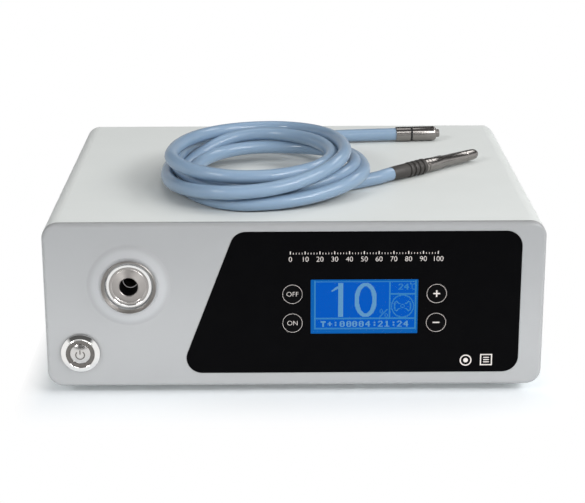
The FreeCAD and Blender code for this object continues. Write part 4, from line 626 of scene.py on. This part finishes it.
# %% The power sign
SIGN_RADIUS, SIGN_WALL = 2.75, 0.75      # of its open ring, mm
STEM = 0.45              # the stem is cut in short pieces, so that it bends with the dome, mm
x, height = seen_at("power_button")
shapes = ring_shapes(x, height - 0.3, SIGN_RADIUS, SIGN_WALL, start=0.11, sweep=0.79)
shapes += [bar(x, height + 0.5 + STEM * k, SIGN_WALL, STEM) for k in range(6)]
sign = plate_from(shapes, BUTTON_FRONT - DOME - CLEARANCE)
button = middle("power_button")
for corner in sign.verts:
    away = math.hypot(corner.co.x - button.x, corner.co.z - button.z) / MM / BUTTON_RADIUS
    corner.co.y += DOME * away ** 2 * MM
power_sign = to_object("power_sign", sign, dark_ring, "power_button")
print("power sign laid on the dome:", len(shapes), "small plates")

# %% [markdown]
# ## The cable's end fittings
# A rubber sleeve with a few round ribs guards the hose where it enters the long steel ferrule.
# The other end has two steel sleeves with a black sealing ring between them. Both ends are turned
# pieces, so each is drawn as a section along its own lying axis.

# %% The source end
SOURCE_HEADING = 41.0                     # how far the ferrule points to the back, degrees
SLEEVE_START, SLEEVE_END = -2.9, 28.2     # along the axis from the hose's end, mm
THIN_END, TAPER = 4.65, 0.4               # the sleeve's first radius and what it gains, mm
RIBS, RIB_START, RIB_PITCH, RIB_CROWN = 4, 11.5, 4.2, 0.35
GROOVE_WIDTH, GROOVE_DEPTH, GROOVE_EDGE = 1.5, 0.7, 0.15
source_axis = cover_axis(SOURCE_END[0][0], SOURCE_END[0][1], SOURCE_HEADING)


def sleeve_radius(along):
    """The sleeve's radius at a place along it, mm."""
    return THIN_END + TAPER * (along - SLEEVE_START) / (SLEEVE_END - SLEEVE_START)


sleeve = [(0, SLEEVE_START), (4.4, SLEEVE_START), (sleeve_radius(0) - 0.05, SLEEVE_START + 0.5)]
for rib in range(RIBS):
    groove = RIB_START + RIB_PITCH * rib
    rib_start, radius = groove + GROOVE_WIDTH, sleeve_radius(groove)
    sleeve += [(radius, groove), (radius - GROOVE_DEPTH, groove + GROOVE_EDGE),
               (radius - GROOVE_DEPTH, rib_start - GROOVE_EDGE)]
    sleeve += [(radius + RIB_CROWN * math.sin(a),
                rib_start + (RIB_PITCH - GROOVE_WIDTH) * (1 - math.cos(a)) / 2)
               for a in (math.pi * i / 8 for i in range(9))]
sleeve += [(sleeve_radius(SLEEVE_END), SLEEVE_END), (0, SLEEVE_END)]
relief = lathe("source_sleeve", source_axis, sleeve, rubber, "housing")
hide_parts("source_strain_relief")

ferrule = lathe("steel_ferrule", source_axis, [
    (0, SLEEVE_END), (4.5, SLEEVE_END), (4.85, 28.5), (4.85, 30.4), (4.45, 30.6), (4.45, 31.2),
    (4.85, 31.4), (4.85, 33.1), (4.4, 33.4), (4.4, 34.0), (4.65, 34.3), (4.65, 45.7), (4.2, 46.5),
    (3.95, 69.3), (3.6, 69.5), (3.6, 70.2), (3.9, 70.4), (3.85, 76.5), (3.65, 78.6), (3.3, 80.0),
    (2.8, 80.9), (2.3, 81.3), (2.2, 81.1), (0, 81.1)],
    ferrule_steel, "housing")
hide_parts("source_ferrule")
print("source end:", len(relief.data.polygons) + len(ferrule.data.polygons), "faces")

# %% The scope end
SCOPE_HEADING = 5.32     # how far the sleeves point to the back, degrees
scope_axis = cover_axis(SCOPE_END[-1][0], SCOPE_END[-1][1], SCOPE_HEADING)
connector = lathe("scope_sleeves", scope_axis, [
    (0, 0), (5.1, 0), (5.3, 0.2), (5.3, 10.7), (5.1, 10.9), (4.5, 10.9), (4.5, 12.1), (5.1, 12.1),
    (5.3, 12.3), (5.3, 27.9), (5.1, 28.8), (4.6, 29.6), (4.0, 30.0), (3.3, 30.0), (3.3, 30.3),
    (2.9, 30.5), (2.9, 32.2), (2.6, 32.5), (0, 32.5)],
    ferrule_steel, "housing")
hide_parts("scope_connector")
seal = lathe("scope_seal", scope_axis, bead(4.65, 11.5, 0.58), black_abs, "housing",
             parts=64)
print("scope end:", len(connector.data.polygons) + len(seal.data.polygons), "faces")

# %% [markdown]
# ## Legends
# The four keys say OFF, ON, plus and minus inside a thin ring. Over the display a row of
# numbers marks the brightness in tens, and low on the right are two plain marks.

# %% Key legends
KEY_WORDS = {"key_off": "OFF", "key_on": "ON", "key_plus": "", "key_minus": ""}
RING, RING_WIDTH = 6.15, 0.2             # radius of the thin ring and width of its line, mm
CAPITALS = 3.0                           # height of the letters, mm
CROSS, CROSS_WALL, CROSS_ARM = 4.3, 0.8, 1.8     # a minus, its width, a plus's upright arms, mm
for key, text in KEY_WORDS.items():
    x, height = seen_at(key)
    front = front_of(key) - CLEARANCE
    shapes = ring_shapes(x, height, RING, RING_WIDTH)
    if not text:
        shapes.append(bar(x, height, CROSS, CROSS_WALL))
    if key == "key_plus":
        arm = (CROSS_WALL + CROSS_ARM) / 2
        shapes += [bar(x, height + way * arm, CROSS_WALL, CROSS_ARM) for way in (1, -1)]
    parts = [plate_from(shapes, front)]
    if text:
        parts.append(words(text, x, height, CAPITALS, front, thin=-0.015))
    legend = to_object(f"{key}_legend", together(parts), ink, key)
print(len(KEY_WORDS), "key legends printed")

# %% Brightness scale and marks
SCALE_START, SCALE_STEP = -2.5, 9.2      # x of the scale's zero and from ten to ten, mm
NUMBERS, NUMBER_SIZE = 84.6, 3.2         # height of the row's middle and of its numbers, mm
LONG_TICK = (88.7, 0.6, 1.9)             # a tick's middle height, width and length, mm
SHORT_TICK = (88.3, 0.35, 1.1)
front = front_of("control_overlay") - CLEARANCE
parts = []
for step in range(11):
    x = SCALE_START + step * SCALE_STEP
    parts.append(words(str(step * 10), x, NUMBERS, NUMBER_SIZE, front, thin=-0.008))
    parts.append(plate_from([bar(x, *LONG_TICK)], front))
    if step < 10:
        short = [bar(x + SCALE_STEP * k / 5, *SHORT_TICK) for k in range(1, 5)]
        parts.append(plate_from(short, front))
brightness_scale = to_object("brightness_scale", together(parts), ink, "housing")

LAMP_X, LAMP_HEIGHT = 108.6, 16.8        # middle of the round mark
LIST_X, LIST_HEIGHT = 121.6, 17.1        # middle of the square mark
SIDE, WALL = 6.9, 0.7                    # of the square mark, mm
shapes = ring_shapes(LAMP_X, LAMP_HEIGHT, 3.4, WALL)
shapes += ring_shapes(LAMP_X, LAMP_HEIGHT, 0.75, 1.5, parts=24)
for way in (1, -1):
    shapes.append(bar(LIST_X, LIST_HEIGHT + way * SIDE / 2, SIDE + WALL, WALL))
    shapes.append(bar(LIST_X + way * SIDE / 2, LIST_HEIGHT, WALL, SIDE - WALL))
shapes += [bar(LIST_X, LIST_HEIGHT + row * 1.5, 3.6, 0.6) for row in (1, 0, -1)]
plain_marks = to_object("plain_marks", plate_from(shapes, front), ink, "housing")
print("scale and marks:", len(brightness_scale.data.polygons) + len(plain_marks.data.polygons),
      "faces")

# %% [markdown]
# ## The display's dots
# A graphic display shows 128 by 64 dots. The picture is first worked out as a set of dots that
# are on: frame lines, two large digits, a small fan and a row of a counter. Each dot that is
# on becomes one point, and Geometry Nodes put one small square on every point.

# %% Small letters as rows of dots
DOTS_WIDE, DOTS_HIGH = 128, 64
SMALL = {
    "0": "011110 110011 110111 111011 110011 110011 011110",
    "1": "001100 011100 001100 001100 001100 001100 111111",
    "2": "011110 110011 000011 000110 001100 011000 111111",
    "4": "000110 001110 011110 110110 111111 000110 000110",
    ":": "000000 001100 001100 000000 001100 001100 000000",
    "T": "111111 111111 001100 001100 001100 001100 001100",
    "+": "000000 001100 001100 111111 001100 001100 000000",
    "%": "0110000011 1001000110 1001001100 1001011000 0110110000 0001100110 0011001001 "
         "0110001001 1100001001 1000000110",
    "C": "001110 010001 010000 010000 010000 010001 001110",
}
print(len(SMALL), "small letters and signs")

# %% Ways to light dots
bold_dots, line_dots = set(), set()
dots_on = line_dots      # the set that is being drawn


def box_of_dots(left, right, low, high):
    """Lights a block of dots, its last column and row with it."""
    dots_on.update((i, j) for i in range(left, right + 1) for j in range(low, high + 1))


def glyph(letter, left, top):
    """Lights a small letter's dots down from its top left one."""
    for row, bits in enumerate(SMALL[letter].split()):
        dots_on.update((left + column, top - row) for column, bit in enumerate(bits) if bit == "1")


def oval(middle_x, middle_y, wide, tall, wall_x, wall_y):
    """Lights an oval line from its outer half sizes and its walls, in dots."""
    for i in range(DOTS_WIDE):
        for j in range(DOTS_HIGH):
            dx, dy = i - middle_x, j - middle_y
            outside = (dx / wide) ** 2 + (dy / tall) ** 2 > 1
            inside = (dx / (wide - wall_x)) ** 2 + (dy / (tall - wall_y)) ** 2 < 1
            if not outside and not inside:
                dots_on.add((i, j))


# %% The picture as two sets of dots
FRAME_LINES = [(4, 126, 58, 58), (4, 126, 2, 3), (4, 5, 2, 59), (125, 126, 2, 59),
               (5, 125, 14, 15), (94, 95, 14, 58), (95, 125, 43, 44)]
for line in FRAME_LINES:
    box_of_dots(*line)

# the large one, with its flag, and the large zero
dots_on = bold_dots
box_of_dots(33, 38, 17, 56)
for i in range(9):
    box_of_dots(25 + i, 25 + i, 47 + i // 2, 48 + i // 2 + (1 if i > 2 else 0))
oval(65.5, 36.5, 13.5, 20.5, 5.6, 4.4)

# the small signs and the degree sign's dots
dots_on = line_dots
glyph("%", 83, 25)
for letter, left in (("2", 105), ("4", 112), ("C", 120)):
    glyph(letter, left, 55)
box_of_dots(119, 120, 55, 56)

# the fan: a round frame, a hub and two wide blades with slanting sides
FAN_X, FAN_Y, BLADE_SLANT = 110, 29, 0.75
oval(FAN_X, FAN_Y, 13.8, 13.6, 1.3, 1.3)
oval(FAN_X, FAN_Y, 2.8, 2.8, 1, 1)
for dx in range(-14, 14):
    for dy in range(-12, 14):
        far, slant = math.hypot(dx, dy), abs(dx) * BLADE_SLANT
        on_tip = 9 < far < 10.6 and abs(dy) < slant
        on_side = 4 < far < 10 and abs(abs(dy) - slant) < 0.8
        if on_tip or on_side:
            dots_on.add((FAN_X + dx, FAN_Y + dy))

# the row of the counter
COUNTER_LEFT, COUNTER_STEP, COUNTER_TOP = 12, 7.7, 11
dots_on = bold_dots
for place, letter in enumerate("T+:00004:21:24"):
    glyph(letter, COUNTER_LEFT + round(place * COUNTER_STEP), COUNTER_TOP)
line_dots -= bold_dots
print(len(bold_dots), "strong and", len(line_dots), "weak dots are on")

# %% Squares on the dots, by Geometry Nodes


def socket_id(tree, name):
    """The name by which a modifier knows one of its tree's inputs."""
    return next(item.identifier for item in tree.interface.items_tree if item.name == name)


def node_tree(name, **inputs):
    """An empty Geometry Nodes tree with a mesh in and out and named sizes."""
    tree = bpy.data.node_groups.new(name, "GeometryNodeTree")
    tree.interface.new_socket("Geometry", in_out="INPUT", socket_type="NodeSocketGeometry")
    for label, value in inputs.items():
        socket = tree.interface.new_socket(label, in_out="INPUT", socket_type="NodeSocketFloat")
        socket.default_value = value
    tree.interface.new_socket("Geometry", in_out="OUTPUT", socket_type="NodeSocketGeometry")
    return tree, tree.nodes.new("NodeGroupInput"), tree.nodes.new("NodeGroupOutput")


def grown(name, points, tree, sizes, body):
    """Runs a tree on a mesh of points and keeps the result as a plain mesh on a body."""
    data = bpy.data.meshes.new(name)
    data.from_pydata(points, [], [])
    seed = bpy.data.objects.new(f"{name}_seed", data)
    bpy.context.collection.objects.link(seed)
    grow = seed.modifiers.new("grow", "NODES")
    grow.node_group = tree
    for label, value in sizes.items():
        grow[socket_id(tree, label)] = value
    bpy.context.view_layer.update()
    shape = bpy.data.meshes.new_from_object(
        seed.evaluated_get(bpy.context.evaluated_depsgraph_get()))
    shape.name = name
    bpy.data.objects.remove(seed)
    made = bpy.data.objects.new(name, shape)
    bpy.context.collection.objects.link(made)
    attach(made, body)
    print(name, len(shape.polygons), "faces")
    return made


# %% The lit dots
LIT_SHARE = 0.9          # how much of its pitch a lit dot fills
DOT_GAP = 0.12           # from the glass to the dots' middles, mm
low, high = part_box("display_window")
pitch_x, pitch_z = (high.x - low.x) / DOTS_WIDE, (high.z - low.z) / DOTS_HIGH
glass_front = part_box("lcd_panel")[0].y
for name, dots, finish in (("display_digits", bold_dots, display_dot),
                           ("display_lines", line_dots, display_line)):
    tree, given, out = node_tree(f"squares_for_{name}", Side=pitch_x, Thickness=INK * MM)
    square = add(tree, "GeometryNodeMeshCube",
                 Size=add(tree, "ShaderNodeCombineXYZ", X=given.outputs["Side"],
                          Y=given.outputs["Thickness"], Z=given.outputs["Side"]).outputs[0])
    on_points = add(tree, "GeometryNodeInstanceOnPoints", Points=given.outputs["Geometry"],
                    Instance=square.outputs["Mesh"])
    real = add(tree, "GeometryNodeRealizeInstances", Geometry=on_points.outputs[0])
    inked = add(tree, "GeometryNodeSetMaterial", Geometry=real.outputs[0], Material=finish)
    tree.links.new(inked.outputs[0], out.inputs[0])
    places = [(low.x + (i + 0.5) * pitch_x, glass_front - DOT_GAP * MM,
               low.z + (j + 0.5) * pitch_z) for i, j in sorted(dots)]
    grown(name, places, tree, {"Side": pitch_x * LIT_SHARE}, "housing")

# %% The display's lit field and frame
FIELD_LEFT, FIELD_RIGHT, FIELD_BOTTOM, FIELD_TOP = 4.6, 2.2, 1.6, 4.8    # its margins, in dots
wide, tall = (high.x - low.x) / MM, (high.z - low.z) / MM
x, height = seen_at("display_window")
left = x - wide / 2 + FIELD_LEFT * pitch_x / MM
right = x + wide / 2 - FIELD_RIGHT * pitch_x / MM
bottom = height - tall / 2 + FIELD_BOTTOM * pitch_z / MM
top = height + tall / 2 - FIELD_TOP * pitch_z / MM
glass_depth = front_of("lcd_panel")
field = plate_from([[(left, bottom), (right, bottom), (right, top), (left, top)]],
                   glass_depth - CLEARANCE)
display_field = to_object("display_field", field, display_blue, "housing")

# the lit plastic frame fills the gap between the glass and its window
FRAME_WALL = 0.3         # mm
window_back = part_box("display_window")[1].y / MM - FRONT_FACE
frame_thick = glass_depth - window_back - 6 * CLEARANCE
sides = [bar(x, height + way * (tall - FRAME_WALL) / 2, wide, FRAME_WALL) for way in (1, -1)]
sides += [bar(x + way * (wide - FRAME_WALL) / 2, height, FRAME_WALL, tall - 2 * FRAME_WALL)
          for way in (1, -1)]
surround = plate_from(sides, glass_depth - 2 * CLEARANCE, frame_thick)
display_surround = to_object("display_surround", surround, display_edge, "housing")
print("lit field, mm:", round(right - left, 1), "by", round(top - bottom, 1))

# %% [markdown]
# ## Light, floor and backdrop
# Large soft boxes stand at the sides and over a white table, and three narrow strips draw the
# bright lines on the metal and light the panel's foot. The ceiling and the far end of the room
# are dim in what shines, which keeps the cover's rolled edges clear of the backdrop, and the room
# gives an even fill. The world is white where the camera looks at it.

# %% Lamps


def soft_box(name, direction, distance, wide, tall, level):
    """An area lamp that gives a facing white card the stated level of light."""
    lamp = bpy.data.lights.new(name, "AREA")
    lamp.shape, lamp.size, lamp.size_y = "RECTANGLE", wide, tall
    lamp.energy = level * (math.pi * distance) ** 2
    thing = bpy.data.objects.new(name, lamp)
    bpy.context.collection.objects.link(thing)
    way = Vector(direction).normalized()
    thing.location = way * distance + Vector((0, 0, 0.08))
    thing.rotation_euler = (-way).to_track_quat("-Z", "Y").to_euler()
    return thing


soft_box("side_soft_box", (1.0, -0.36, 0.8), 2.4, 1.1, 1.1, 0.39)
soft_box("overhead_soft_box", (0.0, 0.25, 1.0), 2.4, 1.2, 1.2, 0.11)
soft_box("right_soft_box", (0.57, -0.65, 0.5), 2.4, 0.9, 0.4, 0.33)
soft_box("left_soft_box", (-0.6, -0.62, 0.5), 2.4, 0.9, 0.4, 0.28)
soft_box("front_strip", (0.32, -1.0, 1.0), 2.4, 1.1, 0.4, 0.1)
soft_box("back_strip", (0.53, 0.42, 0.62), 2.4, 1.3, 0.4, 0.12)
low_strip = soft_box("low_strip", (0.0, -1.0, -0.3), 0.24, 0.8, 0.02, 0.46)
low_strip.visible_camera = low_strip.visible_glossy = False

# %% The room
world = bpy.data.worlds.new("studio")
bpy.context.scene.world = world
world.use_nodes = True
tree = world.node_tree
tree.nodes.clear()
path = add(tree, "ShaderNodeLightPath")
seen = add(tree, "ShaderNodeMath", operation="MAXIMUM", in0=path.outputs["Is Camera Ray"],
           in1=path.outputs["Is Transmission Ray"])
# what shines sees the ceiling fade above the walls, and the room fade towards its far end
up = add(tree, "ShaderNodeSeparateXYZ",
         Vector=add(tree, "ShaderNodeTexCoord").outputs["Generated"])
ceiling = add(tree, "ShaderNodeMapRange", Value=up.outputs["Z"], From_Min=0.2, From_Max=0.34,
              To_Min=1.0, To_Max=0.1)
behind = add(tree, "ShaderNodeMapRange", Value=up.outputs["Y"], From_Min=0.3, From_Max=0.8,
             To_Min=1.0, To_Max=0.45)
room = add(tree, "ShaderNodeMath", operation="MULTIPLY", in0=ceiling.outputs[0],
           in1=behind.outputs[0])
fill = add(tree, "ShaderNodeBackground", Color=(1, 1, 1, 1), Strength=0.25)
mirror = add(tree, "ShaderNodeBackground", Color=(1, 1, 1, 1), Strength=room.outputs[0])
white = add(tree, "ShaderNodeBackground", Color=(1, 1, 1, 1), Strength=1.0)
for_gloss = add(tree, "ShaderNodeMixShader", Fac=path.outputs["Is Glossy Ray"],
                in1=fill.outputs[0], in2=mirror.outputs[0])
for_eye = add(tree, "ShaderNodeMixShader", Fac=seen.outputs[0], in1=for_gloss.outputs[0],
              in2=white.outputs[0])
add(tree, "ShaderNodeOutputWorld", Surface=for_eye.outputs[0])
print("room:", world.name, "with", len(tree.nodes), "nodes")

# %% [markdown]
# ## The table
# The table is plain white. Close to the box it shows the shadow that falls on it, and some
# centimetres away it fades into the white of the room, so no edge of it is seen. Behind the box it
# is dimmer in what shines, as the room is.

# %% Table
TABLE_RADIUS = 6.0       # metres
SHADED = (0.157, 0.135, 1.0)     # half sizes of the ground under the box, which keeps its shadow, m
SIDE_FADE = 2.5          # beside the box the shadow fades this many times sooner
table_top = bmesh.new()
bmesh.ops.create_circle(table_top, cap_ends=True, segments=96, radius=TABLE_RADIUS)
data = bpy.data.meshes.new("floor")
table_top.to_mesh(data)
table_top.free()
floor = bpy.data.objects.new("floor", data)
bpy.context.collection.objects.link(floor)
finish, tree, surface, where = new_finish("white_table", Roughness=0.9, Specular_IOR_Level=0.0,
                                          Base_Color=linear("#EEF2F5"))
path = add(tree, "ShaderNodeLightPath")
seen = add(tree, "ShaderNodeMath", operation="MAXIMUM", in0=path.outputs["Is Camera Ray"],
           in1=path.outputs["Is Glossy Ray"])
reach = add(tree, "ShaderNodeVectorMath", operation="SUBTRACT",
            in0=add(tree, "ShaderNodeVectorMath", operation="ABSOLUTE", in0=where).outputs[0],
            in1=SHADED)
outside = add(tree, "ShaderNodeVectorMath", operation="MAXIMUM",
              in0=add(tree, "ShaderNodeVectorMath", operation="MULTIPLY", in0=reach.outputs[0],
                      in1=(SIDE_FADE, 1, 1)).outputs[0], in1=(0, 0, 0))
far = add(tree, "ShaderNodeVectorMath", operation="LENGTH", in0=outside.outputs[0])
fade = add(tree, "ShaderNodeMapRange", Value=far.outputs["Value"], From_Min=0.0, From_Max=0.05,
           To_Min=0.1, To_Max=1.0)
blend = add(tree, "ShaderNodeMath", operation="MULTIPLY", in0=fade.outputs[0],
            in1=seen.outputs[0])
to_back = add(tree, "ShaderNodeMapRange", From_Min=0.14, From_Max=0.4, To_Min=1.0, To_Max=0.45,
              Value=add(tree, "ShaderNodeSeparateXYZ", Vector=where).outputs["Y"])
shine = add(tree, "ShaderNodeMath", operation="MAXIMUM", in0=to_back.outputs[0],
            in1=path.outputs["Is Camera Ray"])
glow = add(tree, "ShaderNodeEmission", Color=(1, 1, 1, 1), Strength=shine.outputs[0])
both = add(tree, "ShaderNodeMixShader", Fac=blend.outputs[0], in1=surface.outputs[0],
           in2=glow.outputs[0])
outlet = next(node for node in tree.nodes if node.type == "OUTPUT_MATERIAL")
tree.links.new(both.outputs[0], outlet.inputs[0])
data.materials.append(finish)
bpy.context.scene.view_settings.view_transform = "Standard"
print("table:", 2 * TABLE_RADIUS, "m across")
